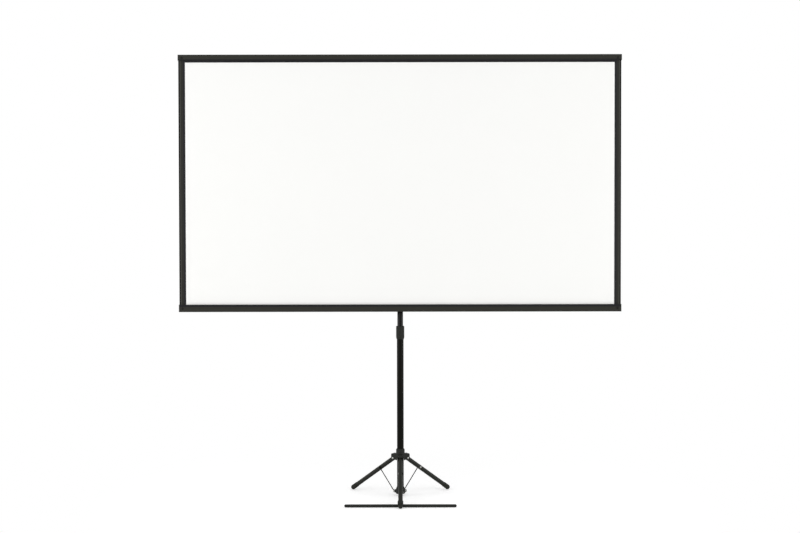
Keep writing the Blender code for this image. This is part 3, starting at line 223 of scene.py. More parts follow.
def add_node(tree, kind, inputs=None, out=None, **options):
    """Adds a node with its options, sets or links its inputs, and gives it or one output."""
    made = tree.nodes.new(kind)
    for key, value in options.items():
        setattr(made, key, value)
    for key, value in (inputs or {}).items():
        if isinstance(value, bpy.types.NodeSocket):
            tree.links.new(value, made.inputs[key])
        else:
            made.inputs[key].default_value = value
    return made if out is None else made.outputs[out]


def calculated(tree, operation, *values):
    """The result of a sum on numbers or outputs."""
    return add_node(
        tree, "ShaderNodeMath", dict(enumerate(values)), "Value", operation=operation
    )


def emptied(owner):
    """The node tree of a material or a world, with no nodes in it yet."""
    owner.use_nodes = True
    owner.node_tree.nodes.clear()
    return owner.node_tree


def shade_of(rgba, share):
    """A colour made lighter or darker by a share of itself."""
    return [min(1, max(0, c * share)) for c in rgba[:3]] + [1]


class Finish:
    """A material in the making: its tree, its shader, and the coordinates of its patterns."""

    def __init__(self, name, roughness, metallic, specular):
        self.material = bpy.data.materials.new(name)
        self.tree = emptied(self.material)
        levels = {"Roughness": roughness, "Metallic": metallic, "Specular IOR Level": specular}
        self.shader = self.node("BsdfPrincipled", levels)
        self.node("OutputMaterial", {"Surface": self.shader.outputs["BSDF"]})
        self.place = self.node("TexCoord", out="Object")

    def node(self, kind, inputs=None, out=None, **options):
        return add_node(self.tree, "ShaderNode" + kind, inputs, out, **options)

    def stretched(self, *scale):
        """Coordinates in which patterns are drawn out along the axes with a small scale."""
        return self.node("Mapping", {"Vector": self.place, "Scale": scale}, "Vector")

    def noise(self, scale, detail, place=None, **more):
        inputs = {"Vector": self.place if place is None else place}
        inputs.update({"Scale": scale, "Detail": detail}, **more)
        return self.node("TexNoise", inputs, "Fac")

    def cells(self, scale, **more):
        inputs = {"Vector": self.place, "Scale": scale}
        return self.node("TexVoronoi", inputs, "Distance", **more)

    def span(self, value, low, high, start=0.0, end=1.0):
        """A value carried over from one range to another."""
        inputs = {"Value": value, "From Min": start, "From Max": end}
        inputs.update({"To Min": low, "To Max": high})
        return self.node("MapRange", inputs, "Result")

    def mixed(self, share, first, second):
        return self.node("Mix", {0: share, 6: first, 7: second}, 2, data_type="RGBA")

    def tones(self, share, rgba, low, high):
        """A colour that goes from one share of itself to another."""
        return self.mixed(share, shade_of(rgba, low), shade_of(rgba, high))

    def end(self, tone, shine=None, relief=None, strength=0.0, depth=0.0):
        """Ends the material with a colour, and with a roughness and a relief where given."""
        self.tree.links.new(tone, self.shader.inputs["Base Color"])
        if shine is not None:
            self.tree.links.new(shine, self.shader.inputs["Roughness"])
        if relief is not None:
            inputs = {"Strength": strength, "Distance": depth, "Height": relief}
            self.tree.links.new(self.node("Bump", inputs, "Normal"), self.shader.inputs["Normal"])
        return self.material


def anodised_extrusion(name, rgba):
    """Extruded aluminium, etched and anodised: a satin skin with fine lengthwise die lines."""
    made = Finish(name, 0.42, 0.2, 0.1)
    # Die lines are about 0.1 mm wide. They are drawn 1.2 mm wide, so that they show.
    lines = made.noise(830, 3, made.stretched(0.015, 1, 1))
    tone = made.tones(made.noise(5, 2), rgba, 0.9, 1.1)
    lined = made.mixed(lines, tone, shade_of(rgba, 1.22))
    return made.end(lined, made.span(lines, 0.36, 0.52), lines, 0.35, 0.00004)


def moulded_abs(name, rgba):
    """ABS moulded in a spark eroded mould: a fine even grain that scatters highlights."""
    made = Finish(name, 0.52, 0, 0.12)
    # The grain is about 0.3 mm. It is drawn 1 mm, so that it shows.
    grain = made.cells(1000, feature="SMOOTH_F1")
    tone = made.tones(made.noise(40, 3), rgba, 0.88, 1.12)
    return made.end(tone, relief=grain, strength=0.3, depth=0.00012)


def glass_filled_nylon(name, rgba):
    """Moulded glass filled nylon: dull, with paler swirls where the fibres come to the skin."""
    made = Finish(name, 0.6, 0, 0.12)
    swirl = made.noise(70, 5, Distortion=1.5)
    # The fibres are about 0.01 mm thick. They are drawn as flecks of 1.1 mm, so that they show.
    fibre = made.noise(900, 2)
    tone = made.tones(swirl, rgba, 0.8, 1.2)
    return made.end(tone, made.span(swirl, 0.52, 0.7), fibre, 0.25, 0.0001)


def powder_coated_steel(name, rgba):
    """Steel tube with a baked powder coat: satin, with an orange peel over a millimetre across."""
    made = Finish(name, 0.45, 0, 0.12)
    peel = made.noise(700, 1)
    tone = made.tones(made.noise(25, 3), rgba, 0.86, 1.14)
    return made.end(tone, relief=peel, strength=0.3, depth=0.00015)


def enamelled_steel(name, rgba, roughness, specular, rub):
    """Drawn steel under stove enamel: smooth and dark, with rub marks along its length."""
    made = Finish(name, roughness, 0, specular)
    # Rub marks are about 0.2 mm wide. They are drawn 1.5 mm wide, so that they show.
    marks = made.noise(660, 4, made.stretched(1, 1, 0.02))
    rubbed = made.span(marks, 0, 1, 0.35, 0.75)
    tone = made.tones(rubbed, rgba, 0.85, 1 + rub)
    return made.end(tone, made.span(rubbed, roughness, roughness * (1 + rub)))


def zinc_plate(name, rgba):
    """Dull zinc over steel: a soft grey metal shine, broken by faint crystal patches."""
    made = Finish(name, 0.4, 1, 0.5)
    patches = made.cells(900)
    return made.end(made.tones(patches, rgba, 1.08, 0.8), made.span(patches, 0.34, 0.5))


def black_oxide(name, rgba):
    """Steel blackened in a hot bath and oiled: a dark metal sheen, patchy where the oil dried."""
    made = Finish(name, 0.4, 1, 0.5)
    patches = made.noise(600, 4)
    return made.end(made.tones(patches, rgba, 0.7, 1.3), made.span(patches, 0.3, 0.5))


def flocked_tape(name, rgba):
    """Short nylon flock on a tape: dead matt, with a soft uneven nap."""
    made = Finish(name, 0.95, 0, 0.05)
    # The fibres are about 0.05 mm thick. They are drawn as tufts of 1 mm, so that they show.
    nap = made.noise(1000, 4, Roughness=0.7)
    return made.end(made.tones(nap, rgba, 0.75, 1.25), relief=nap, strength=0.5, depth=0.0003)


def moulded_rubber(name, rgba):
    """Moulded rubber: dark and matt, greyed by dust towards the floor."""
    made = Finish(name, 0.78, 0, 0.1)
    height = made.node("SeparateXYZ", {"Vector": made.place}, "Z")
    grit = made.noise(500, 4)
    dust = calculated(made.tree, "MULTIPLY", made.span(height, 0.5, 0, 0, 0.02), grit)
    return made.end(made.tones(dust, rgba, 1, 2.4), relief=grit, strength=0.3, depth=0.0002)


def coated_fabric(name, rgba, roughness, specular, pitch, variation):
    """Coated screen fabric: the coating is matt and the weave under it shows as a shallow grid."""
    made = Finish(name, roughness, 0, specular)
    split = made.node("SeparateXYZ", {"Vector": made.place}).outputs
    # The threads are about 0.5 mm apart. They are drawn as far apart as pitch, so that they show.
    waves = []
    for axis in ("X", "Z"):
        angle = calculated(made.tree, "MULTIPLY", split[axis], 2 * math.pi / pitch)
        waves.append(calculated(made.tree, "SINE", angle))
    weave = calculated(made.tree, "MULTIPLY", *waves)
    tone = made.tones(made.noise(2.5, 3), rgba, 1 - variation, 1)
    return made.end(tone, relief=weave, strength=0.15, depth=0.00005)


def drawn_steel(name, rgba):
    """Bare drawn steel with a trace of oil: grey metal with lines along its length."""
    made = Finish(name, 0.35, 1, 0.5)
    # Draw lines are about 0.1 mm wide. They are drawn 1.4 mm wide, so that they show.
    lines = made.noise(700, 3, made.stretched(0.02, 1, 1))
    return made.end(made.tones(lines, rgba, 0.85, 1.1), made.span(lines, 0.28, 0.45))


def make_finishes(colours):
    """Every finish of the object, made once and found again by its name."""
    return {
        "extrusion": anodised_extrusion("aluminium_anodised_extruded", colours.extrusion),
        "caps": moulded_abs("abs_moulded_grained", colours.moulding),
        "nylon": glass_filled_nylon("nylon_glass_filled_moulded", colours.nylon),
        "powder": powder_coated_steel("steel_powder_coated", colours.powder),
        "mast": enamelled_steel("steel_tube_stove_enamelled", colours.mast, 0.34, 0.05, 0.35),
        "gloss": enamelled_steel("steel_tube_gloss_enamelled", colours.gloss, 0.12, 0.1, 0.2),
        "zinc": zinc_plate("steel_zinc_plated", colours.zinc),
        "oxide": black_oxide("steel_black_oxide", colours.oxide),
        "tape": flocked_tape("nylon_flocked_tape", colours.tape),
        "rubber": moulded_rubber("rubber_moulded", colours.rubber),
        "screen": coated_fabric("pvc_coated_matt_white", colours.screen, 0.9, 0.1, 0.004, 0.012),
        "border": coated_fabric("pvc_printed_black", colours.border, 0.75, 0.1, 0.003, 0.08),
        "hem": coated_fabric("pvc_welded_hem_black", colours.hem, 0.6, 0.12, 0.003, 0.1),
        # The binding's dark tone is painted shade along the fabric's outer edge.
        "binding": coated_fabric("pvc_binding_folded", colours.binding, 0.55, 0.08, 0.002, 0.1),
        # The weld's pale tone is a painted highlight on a raised bead.
        "weld": coated_fabric("pvc_weld_raised", colours.weld, 0.45, 0.2, 0.002, 0.1),
        "backing": coated_fabric("pvc_coated_black_back", colours.backing, 0.7, 0.15, 0.004, 0.1),
        "steel": drawn_steel("steel_drawn_oiled", linear("8A8C8D")),
        "acetal": moulded_abs("acetal_moulded_natural", linear("C6C6BE")),
    }


def finish(name):
    """A finish that was made earlier."""
    return bpy.context.scene["finishes"][name]


def settings():
    return bpy.context.scene.pull_up_screen


def linked(name, data):
    """An object in the scene."""
    made = bpy.data.objects.new(name, data)
    bpy.context.scene.collection.objects.link(made)
    return made


def mesh_from(work, name):
    """The mesh of a bmesh, which is freed."""
    mesh = bpy.data.meshes.new(name)
    work.to_mesh(mesh)
    work.free()
    return mesh


def as_piece(name, mesh, finishes, body, replaced):
    """A mesh whose place is in its points, as a finished piece of the object."""
    # Clearing also sets all faces back to the first finish, so only a filled list is cleared.
    if mesh.materials:
        mesh.materials.clear()
    for item in [finishes] if isinstance(finishes, str) else finishes:
        mesh.materials.append(finish(item))
    piece = linked(name, mesh)
    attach(piece, body)
    if replaced:
        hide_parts(*replaced)
    return piece


def smoothed(mesh, degrees=38):
    mesh.shade_smooth()
    mesh.set_sharp_from_angle(angle=math.radians(degrees))
    return mesh


def reworked(mesh, change):
    """A mesh after a change to its bmesh."""
    work = bmesh.new()
    work.from_mesh(mesh)
    change(work)
    work.to_mesh(mesh)
    work.free()
    return mesh


def closed(work, name, place=Matrix.Identity(4)):
    """The mesh of a closed form in its place, with its faces turned outwards."""
    bmesh.ops.recalc_face_normals(work, faces=work.faces)
    bmesh.ops.transform(work, matrix=place, verts=work.verts)
    return mesh_from(work, name)


def eased(corners, ease, steps=EASE_STEPS):
    """Corners (x, y) or (x, y, radius) of an outline or profile, each turned into a small arc."""
    on_axis = abs(corners[0][0]) < ON_AXIS and abs(corners[-1][0]) < ON_AXIS
    points = []
    for i, corner in enumerate(corners):
        here = Vector(corner[:2])
        radius = corner[2] if len(corner) > 2 else ease
        if radius == 0 or (on_axis and i in (0, len(corners) - 1)):
            points.append(here)
            continue
        back = Vector(corners[i - 1][:2]) - here
        ahead = Vector(corners[(i + 1) % len(corners)][:2]) - here
        # An arc takes less than half of each side, so that two arcs never meet.
        longest = 0.45 * min(back.length, ahead.length)
        reach = min(radius / math.tan(back.angle(ahead) / 2), longest)
        start, end = here + back.normalized() * reach, here + ahead.normalized() * reach
        for step in range(steps + 1):
            t = step / steps
            points.append(start * (1 - t) ** 2 + here * 2 * t * (1 - t) + end * t**2)
    return [(point.x, point.y) for point in points]


def turned(profile, steps, place=Matrix.Identity(4), shape=None):
    """A mesh turned about local Z from a profile of (radius, height), closed or ending on Z."""
    work = bmesh.new()
    rings = []
    for radius, height in profile:
        if radius < ON_AXIS:
            rings.append([work.verts.new((0, 0, height))])
            continue
        ring = []
        for i in range(steps):
            angle = 2 * math.pi * i / steps
            reach = shape(radius, height, angle) if shape else radius
            point = (reach * math.cos(angle), reach * math.sin(angle), height)
            ring.append(work.verts.new(point))
        rings.append(ring)
    pairs = list(zip(rings, rings[1:]))
    if len(rings[0]) > 1:
        pairs.append((rings[-1], rings[0]))
    for low, high in pairs:
        for i in range(steps):
            places = ((low, i), (low, i + 1), (high, i + 1), (high, i))
            corners = list(dict.fromkeys(ring[k % len(ring)] for ring, k in places))
            if len(corners) > 2:
                work.faces.new(corners)
    return smoothed(closed(work, "turned", place))


def prism(rings):
    """Two like rings of points with faces between them, as a bmesh, and the faces at its ends."""
    work = bmesh.new()
    low, high = [[work.verts.new(point) for point in ring] for ring in rings]
    for i in range(len(low)):
        j = (i + 1) % len(low)
        work.faces.new((low[i], low[j], high[j], high[i]))
    return work, [work.faces.new(low), work.faces.new(high)]


def extruded(outline, start, end):
    """A mesh of an outline in Y and Z, extruded along X."""
    work, caps = prism([[(x, y, z) for y, z in outline] for x in (start, end)])
    bmesh.ops.triangulate(work, faces=caps)
    return smoothed(closed(work, "extruded"))


def slab(outline, low, high, place=Matrix.Identity(4), ease=0.0):
    """A plate of an outline in local X and Y, from one local Z to another, with eased rims."""
    work, caps = prism([[(x, y, z) for x, y in outline] for z in (low, high)])
    if ease:
        rims = list({edge for face in caps for edge in face.edges})
        bmesh.ops.bevel(work, geom=rims, offset=ease, segments=3, affect="EDGES")
    return closed(work, "slab", place)


def round_bar(radius, low, high, place, steps=ROUND_STEPS):
    """A plain round bar about local Z, as a tool or a part of a larger form."""
    return turned([(0, low), (radius, low), (radius, high), (0, high)], steps, place)


def refined(node, name, finish_name, body, slot, bevel):
    """A CAD node's own form as a moulded piece, in place of the node."""
    return moulded(FRAME["nodes"][node].data, name, finish_name, body, node, slot, bevel)


def moulded(form, name, finish_name, body, node, slot, bevel):
    """A form as a piece in place of a node: merged, with eased edges and smooth shading."""
    work = bmesh.new()
    work.from_mesh(form)
    bmesh.ops.remove_doubles(work, verts=work.verts, dist=MERGED)
    level = math.radians(0.5)
    bmesh.ops.dissolve_limit(work, angle_limit=level, verts=work.verts, edges=work.edges)
    piece = as_piece(name, smoothed(mesh_from(work, name)), finish_name, body, [node])
    edges = piece.modifiers.new("eased_edges", "BEVEL")
    edges.width = bevel
    edges.segments = 2
    edges.limit_method = "ANGLE"
    edges.angle_limit = math.radians(40)
    edges.harden_normals = True


def baked(source, name):
    """The mesh that an object's modifiers make, after which the object is gone."""
    bpy.context.view_layer.update()
    graph = bpy.context.evaluated_depsgraph_get()
    mesh = bpy.data.meshes.new_from_object(source.evaluated_get(graph))
    mesh.name = name
    bpy.data.objects.remove(source, do_unlink=True)
    return mesh


def fused(adds, cuts=(), within=()):
    """One mesh from meshes that are joined, kept within others, and then cut by more."""
    # The boolean solver is steadier on forms of some millimetres than on thousandths of a metre.
    def prepared(work):
        bmesh.ops.triangulate(work, faces=work.faces)
        bmesh.ops.scale(work, vec=[1 / MILLIMETRE] * 3, verts=work.verts)

    for mesh in (*adds, *within, *cuts):
        reworked(mesh, prepared)
    made = combined(adds[0], {"UNION": adds[1:], "INTERSECT": within, "DIFFERENCE": cuts})
    made.transform(Matrix.Scale(MILLIMETRE, 4))
    return made


def combined(mesh, steps):
    """A mesh after boolean steps, as {operation: meshes}."""
    base = linked("base", mesh)
    helpers = []
    for operation, tools in steps.items():
        for tool in tools:
            step = base.modifiers.new("step", "BOOLEAN")
            step.operation = operation
            step.object = linked("helper", tool)
            helpers.append(step.object)
    made = baked(base, "combined")
    for helper in helpers:
        bpy.data.objects.remove(helper, do_unlink=True)
    return made


def by_nodes(tree, inputs, finish_name, host=None):
    """The mesh that a Geometry Nodes tree makes from named inputs, with a finish on it."""
    source = linked("host", host or bpy.data.meshes.new("host"))
    modifier = source.modifiers.new("nodes", "NODES")
    modifier.node_group = tree
    inputs = {**inputs, "Finish": finish(finish_name)}
    for item in tree.interface.items_tree:
        if item.item_type == "SOCKET" and item.name in inputs:
            modifier[item.identifier] = inputs[item.name]
    return baked(source, tree.name)


def new_tree(name, kind, *titles):
    """A Geometry Nodes tree, and the outputs of its input node: one of this kind for each title."""
    tree = bpy.data.node_groups.new(name, "GeometryNodeTree")
    sockets = [("Geometry", "Geometry"), *((title, kind) for title in titles)]
    for title, sort in (*sockets, ("Finish", "Material")):
        tree.interface.new_socket(title, in_out="INPUT", socket_type="NodeSocket" + sort)
    tree.interface.new_socket("Geometry", in_out="OUTPUT", socket_type="NodeSocketGeometry")
    return tree, add_node(tree, "NodeGroupInput").outputs


def end_tree(tree, geometry, material):
    """Ends a tree in real geometry with its finish on it."""
    real = add_node(tree, "GeometryNodeRealizeInstances", {"Geometry": geometry}, "Geometry")
    inputs = {"Geometry": real, "Material": material}
    shown = add_node(tree, "GeometryNodeSetMaterial", inputs, "Geometry")
    add_node(tree, "NodeGroupOutput", {"Geometry": shown})
    return tree


def swept(tree, path, section, **more):
    """A section swept along a path."""
    inputs = {"Curve": path, "Profile Curve": section, **more}
    return add_node(tree, "GeometryNodeCurveToMesh", inputs, "Mesh")


def circle(tree, steps, radius):
    inputs = {"Resolution": steps, "Radius": radius}
    return add_node(tree, "GeometryNodeCurvePrimitiveCircle", inputs, "Curve")


def tube_tree():
    """A tree for a tube about Z: its wall's section, with eased edges, swept round a circle."""
    tree, given = new_tree("tube_about_z", "Float", "Outer Radius", "Wall", "Bottom", "Top", "Ease")
    half_wall = calculated(tree, "MULTIPLY", given["Wall"], 0.5)
    middle = calculated(tree, "SUBTRACT", given["Outer Radius"], half_wall)
    length = calculated(tree, "SUBTRACT", given["Top"], given["Bottom"])
    ends = calculated(tree, "ADD", given["Top"], given["Bottom"])
    height = calculated(tree, "MULTIPLY", ends, 0.5)
    sides = {"Width": given["Wall"], "Height": length}
    wall = add_node(tree, "GeometryNodeCurvePrimitiveQuadrilateral", sides, "Curve")
    corners = {"Curve": wall, "Radius": given["Ease"], "Count": EASE_STEPS}
    section = add_node(tree, "GeometryNodeFilletCurve", corners, "Curve", mode="POLY")
    tube = swept(tree, circle(tree, FINE_STEPS, middle), section)
    offset = add_node(tree, "ShaderNodeCombineXYZ", {"Z": height}, "Vector")
    inputs = {"Geometry": tube, "Translation": offset}
    placed = add_node(tree, "GeometryNodeTransform", inputs, "Geometry")
    return end_tree(tree, placed, given["Finish"])


def spring_tree():
    """A tree for a coil spring about Z, from round wire."""
    tree, given = new_tree("coil_spring", "Float", "Radius", "Length", "Turns", "Wire")
    inputs = {"Resolution": COIL_STEPS, "Rotations": given["Turns"], "Height": given["Length"]}
    inputs.update({"Start Radius": given["Radius"], "End Radius": given["Radius"]})
    helix = add_node(tree, "GeometryNodeCurveSpiral", inputs, "Curve")
    section = circle(tree, WIRE_STEPS, calculated(tree, "MULTIPLY", given["Wire"], 0.5))
    return end_tree(tree, swept(tree, helix, section, **{"Fill Caps": True}), given["Finish"])


def copies_tree():
    """A tree that sets a copy of an object on each point, facing the point's own way."""
    tree, given = new_tree("copies_on_points", "Object", "Copied")
    copied = add_node(tree, "GeometryNodeObjectInfo", {"Object": given["Copied"]}, "Geometry")
    facing = add_node(
        tree,
        "GeometryNodeInputNamedAttribute",
        {"Name": "facing"},
        "Attribute",
        data_type="FLOAT_VECTOR",
    )
    turn = add_node(
        tree, "FunctionNodeAlignRotationToVector", {"Vector": facing}, "Rotation", axis="Z"
    )
    points = add_node(tree, "GeometryNodeMeshToPoints", {"Mesh": given["Geometry"]}, "Points")
    inputs = {"Points": points, "Instance": copied, "Rotation": turn}
    placed = add_node(tree, "GeometryNodeInstanceOnPoints", inputs, "Instances")
    return end_tree(tree, placed, given["Finish"])


def copies(mesh, places, finish_name):
    """Copies of a mesh, one at each place, which is (point, direction), as one mesh."""
    host = bpy.data.meshes.new("places")
    host.from_pydata([point for point, _ in places], [], [])
    facing = host.attributes.new("facing", "FLOAT_VECTOR", "POINT")
    facing.data.foreach_set("vector", [c for _, way in places for c in way])
    pattern = linked("pattern", mesh)
    tree = bpy.data.node_groups.get("copies_on_points") or copies_tree()
    made = by_nodes(tree, {"Copied": pattern}, finish_name, host)
    bpy.data.objects.remove(pattern, do_unlink=True)
    return smoothed(made)


def axis_of(node):
    """The middle of a node's box in X and Y, and its lowest and highest Z."""
    low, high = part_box(node)
    return (low.x + high.x) / 2, (low.y + high.y) / 2, low.z, high.z


def radius_of(node):
    """The radius of a round upright node."""
    low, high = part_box(node)
    return (high.x - low.x) / 2


def points_of(node):
    return [vertex.co for vertex in FRAME["nodes"][node].data.vertices]


def give_finish(node, finish_name):
    """A finish for a CAD node that stays as it is."""
    FRAME["nodes"][node].data.materials[0] = finish(finish_name)


def tube_mesh(outer, wall, bottom, top, finish_name):
    """A tube about Z with eased edges."""
    tree = bpy.data.node_groups.get("tube_about_z") or tube_tree()
    inputs = {"Outer Radius": outer, "Wall": wall, "Bottom": bottom, "Top": top, "Ease": wall / 4}
    return by_nodes(tree, inputs, finish_name)


def tube_piece(name, node, wall, finish_name, body, slot):
    """A tube about an upright axis, in place of its CAD node."""
    x, y, bottom, top = axis_of(node)
    mesh = tube_mesh(radius_of(node), wall, bottom, top, finish_name)
    mesh.transform(Matrix.Translation((x, y, 0)))
    return as_piece(name, smoothed(mesh), finish_name, body, [node])


def middle_of(node):
    low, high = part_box(node)
    return (low + high) / 2


def axes(origin, *directions):
    """A matrix from its origin and the directions of its local X, Y and Z."""
    return Matrix.Translation(origin) @ Matrix(directions).transposed().to_4x4()


def leg_frame(name):
    """A matrix on a leg's pivot, with local X down the leg and local Y along its pin."""
    joint = JOINTS[name + "_leg_fold"]
    pin, pivot = Vector(joint["axis"]).normalized(), Vector(joint["pos_m"])
    across = middle_of("foot_cap_" + name) - pivot
    down = (across - pin * across.dot(pin)).normalized()
    return axes(pivot, down, pin, down.cross(pin))


def spoke(name):
    """A matrix on the mast's axis, with local X out towards a leg and local Y up."""
    x, y, _, _ = axis_of("lower_mast")
    pivot = Vector(JOINTS[name + "_leg_fold"]["pos_m"])
    outward = Vector((pivot.x - x, pivot.y - y, 0)).normalized()
    up = Vector((0, 0, 1))
    return axes((x, y, 0), outward, up.cross(outward), up) @ UPRIGHT


def wing_joint(name):
    """A matrix on a wing's axis at its pin, with local Z along the pin, local Y across the leg."""
    low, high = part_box("wing_" + name)
    x = JOINTS[name + "_wing_fold"]["pos_m"][0]
    middle = Vector((x, (low.y + high.y) / 2, (low.z + high.z) / 2))
    return Matrix.Translation(middle) @ leg_frame("front").to_3x3().to_4x4()


class SCREEN_OT_finishes(bpy.types.Operator):
    """Make the finishes of all pieces"""

    bl_idname = "pull_up_screen.finishes"
    bl_label = "Finishes"

    def execute(self, context):
        context.scene["finishes"] = make_finishes(settings().colours)
        return {"FINISHED"}


class SCREEN_OT_fabric(bpy.types.Operator):
    """Make the stretched fabric, its border, its hems and the turns left on the roller"""

    bl_idname = "pull_up_screen.fabric"
    bl_label = "Fabric"

    def execute(self, context):
        sizes = settings().sizes
        low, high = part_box("screen_fabric")
        back, front = high.y, high.y - sizes.sheet_thickness
        sheet = self.make_sheet(sizes, low, high, front, back)
        hems = [self.make_hem(sizes, name, side, front) for name, side in SIDES.items()]
        for piece in (sheet, *hems):
            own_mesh(piece)
        self.make_wound_turns(sizes, back - sizes.sheet_thickness / 2)
        return {"FINISHED"}

    def make_sheet(self, sizes, low, high, front, back):
        """The fabric as a thin closed grid whose outer cells carry the border's print."""
        screen, border, backing = range(3)
        side = high.x - sizes.side_border
        picture_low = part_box("case_body")[1].z
        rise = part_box("top_bar")[0].z - sizes.top_border - picture_low
        columns = [side * (2 * i / SHEET_COLUMNS - 1) for i in range(SHEET_COLUMNS + 1)]
        columns = [low.x, *columns, high.x]
        rows = [picture_low + rise * i / SHEET_ROWS for i in range(SHEET_ROWS + 1)]
        rows = [low.z, *rows, high.z]
        top, right = len(rows) - 1, len(columns) - 1

        def wave(x, z):
            """Faint waves that fade out towards all four edges of the fabric."""
            share = min(1, (high.x - abs(x)) / (high.x / 4))
            share *= math.sin(math.pi * (z - low.z) / (high.z - low.z))
            across, slant, rising = WAVES
            waves = math.sin(x * across) * math.cos(x * slant + z * rising)
            return sizes.sheet_ripple * share * waves

        work = bmesh.new()
        grids = []
        for y, is_front in ((front, True), (back, False)):
            grid = [[work.verts.new((x, y + wave(x, z), z)) for x in columns] for z in rows]
            for r, (row, above) in enumerate(zip(grid, grid[1:])):
                for c in range(right):
                    face = work.faces.new((row[c], row[c + 1], above[c + 1], above[c]))
                    inside = 0 < c < right - 1 and 0 < r < top - 1
                    face.material_index = (screen if inside else border) if is_front else backing
            grids.append(grid)
        rim = [(r, 0) for r in range(top)] + [(top, c) for c in range(right)]
        rim += [(r, right) for r in range(top, 0, -1)] + [(0, c) for c in range(right, 0, -1)]
        for (r, c), (r2, c2) in zip(rim, rim[1:] + rim[:1]):
            edge = [grids[0][r][c], grids[0][r2][c2], grids[1][r2][c2], grids[1][r][c]]
            work.faces.new(edge).material_index = border
        mesh = smoothed(closed(work, "screen_sheet"))
        finishes = ["screen", "border", "backing"]
        return as_piece("screen_sheet", mesh, finishes, "case", ["screen_fabric"])

    def make_hem(self, sizes, name, side, front):
        """A hem down one side: a flat tape, a raised weld whose paler colour is a painted
        highlight, and a binding folded over the edge whose darker colour is painted shade.
        """
        low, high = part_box("screen_fabric")
        width, binding, ridge = sizes.hem_width, sizes.binding_width, sizes.weld_width
        flat = front - sizes.hem_rise
        raised = front - WELD_RISE * sizes.hem_rise
        weld = binding + 2 * ridge
        corners = [
            (width, front),
            (width, flat),
            (weld, flat),
            (weld - ridge / 4, raised),
            (weld - ridge * 3 / 4, raised),
            (weld - ridge, flat),
            (binding, flat),
            (binding, raised),
            (0, raised),
            (0, front),
        ]
        outline = [(y, side * (high.x - x)) for x, y in eased(corners, sizes.hem_rise / 3)]
        strip = extruded(outline, low.z, high.z)
        # The outline was extruded along X: this swaps X and Z.
        strip.transform(Matrix(((0, 0, 1, 0), (0, 1, 0, 0), (1, 0, 0, 0), (0, 0, 0, 1))))

        def give_finishes(work):
            bmesh.ops.recalc_face_normals(work, faces=work.faces)
            for face in work.faces:
                inward = high.x - abs(face.calc_center_median().x)
                # Faces of the binding take the painted shade.
                if inward < binding:
                    face.material_index = 1
                # Faces of the weld take the painted highlight.
                elif weld - ridge < inward < weld:
                    face.material_index = 2

        mesh = smoothed(reworked(strip, give_finishes))
        finishes = ["hem", "binding", "weld"]
        return as_piece("hem_" + name, mesh, finishes, "case", [])

    def make_wound_turns(self, sizes, sheet_y):
        """The turns on the roller, as one spiral that starts where the stretched fabric ends."""
        low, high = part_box("fabric_wrap")
        centre_y, centre_z = (low.y + high.y) / 2, (low.z + high.z) / 2
        outer = centre_y - sheet_y
        inner = outer - (sizes.wound_turns + 0.5) * sizes.sheet_thickness
        steps = TURN_STEPS * sizes.wound_turns
        middle = []
        for i in range(steps + 1):
            angle = math.pi + 2 * math.pi * sizes.wound_turns * i / steps
            middle.append((angle, outer + (inner - outer) * i / steps))
        # A little less than half the fabric, so that one turn doesn't touch the next.
        half = sizes.sheet_thickness * 0.4
        outline = [
            (centre_y + (r + way * half) * math.cos(a), centre_z + (r + way * half) * math.sin(a))
            for way, points in ((1, middle), (-1, middle[::-1]))
            for a, r in points
        ]
        mesh = extruded(outline, low.x, high.x)
        wound = as_piece(
            "wound_fabric", mesh, "backing", "roller", ["fabric_wrap"]
        )


def channel_outline(low, high, slot_y, slot, wall, strip, slot_up):
    """The C section of an extrusion with a slot, in Y and Z, with each edge eased."""
    sizes = settings().sizes
    step, chamfer, corner = sizes.strip_step, sizes.edge_chamfer, sizes.edge_round
    near, far = (high.z, low.z) if slot_up else (low.z, high.z)
    way = -1 if slot_up else 1
    lean = chamfer + math.sqrt(2) * wall - 2 * wall - step
    front = low.y + wall + step
    corners = [
        (slot_y - slot / 2, near),
        (low.y + step, near),
        (low.y + step, near + way * strip, 0),
        (low.y, near + way * strip),
        (low.y, far - way * chamfer),
        (low.y + chamfer, far),
        (high.y, far, corner),
        (high.y, near, corner),
        (slot_y + slot / 2, near),
        (slot_y + slot / 2, near + way * wall),
        (high.y - wall, near + way * wall),
        (high.y - wall, far - way * wall),
        (front + lean, far - way * wall),
        (front, far - way * (wall + lean)),
        (front, near + way * wall),
        (slot_y - slot / 2, near + way * wall),
    ]
    return eased(corners, sizes.ease)


def make_channel(kind, node, slot_y, slot_up):
    """The case's or bar's extrusion, taped beside its slot, with an eased well for each screw."""
    sizes = settings().sizes
    low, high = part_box(node)
    slot, wall, strip = (getattr(sizes, f"{kind}_{part}") for part in ("slot", "wall", "strip"))
    outline = channel_outline(low, high, slot_y, slot, wall, strip, slot_up)
    radius, ease, depth = sizes.well_radius, sizes.ease, wall + sizes.strip_step
    profile = [(0, -ease), (radius + 2 * ease, -ease), (radius, ease), (radius, depth), (0, depth)]
    wells = []
    for name in SIDES:
        middle = middle_of(f"{kind}_{name}_screw")
        place = Matrix.Translation((middle.x, low.y, middle.z)) @ INTO_SCREEN
        wells.append(turned(profile, WELL_STEPS, place))
    taped = low.y + sizes.strip_step

    def give_tape(work):
        for face in work.faces:
            faces_front = abs(face.normal.y) > 0.99
            if faces_front and abs(face.calc_center_median().y - taped) < FLAT:
                face.material_index = 1

    mesh = reworked(fused([extruded(outline, low.x, high.x)], wells), give_tape)
    finishes = ["extrusion", "tape"]
    name, slot_name = kind + "_extrusion", "charcoal_anodised"
    piece = as_piece(name, smoothed(mesh), finishes, kind, [node])
    # Keeps the flat faces flat in the shading, beside their small eased edges.
    piece.modifiers.new("even_faces", "WEIGHTED_NORMAL").keep_sharp = True


def make_caps(kind):
    """The moulded end caps of the case or the bar."""
    for name in SIDES:
        names = f"{kind}_{name}_cap", f"{kind}_end_cap_{name}"
        refined(*names, "caps", kind, "moulded_black", settings().sizes.ease)


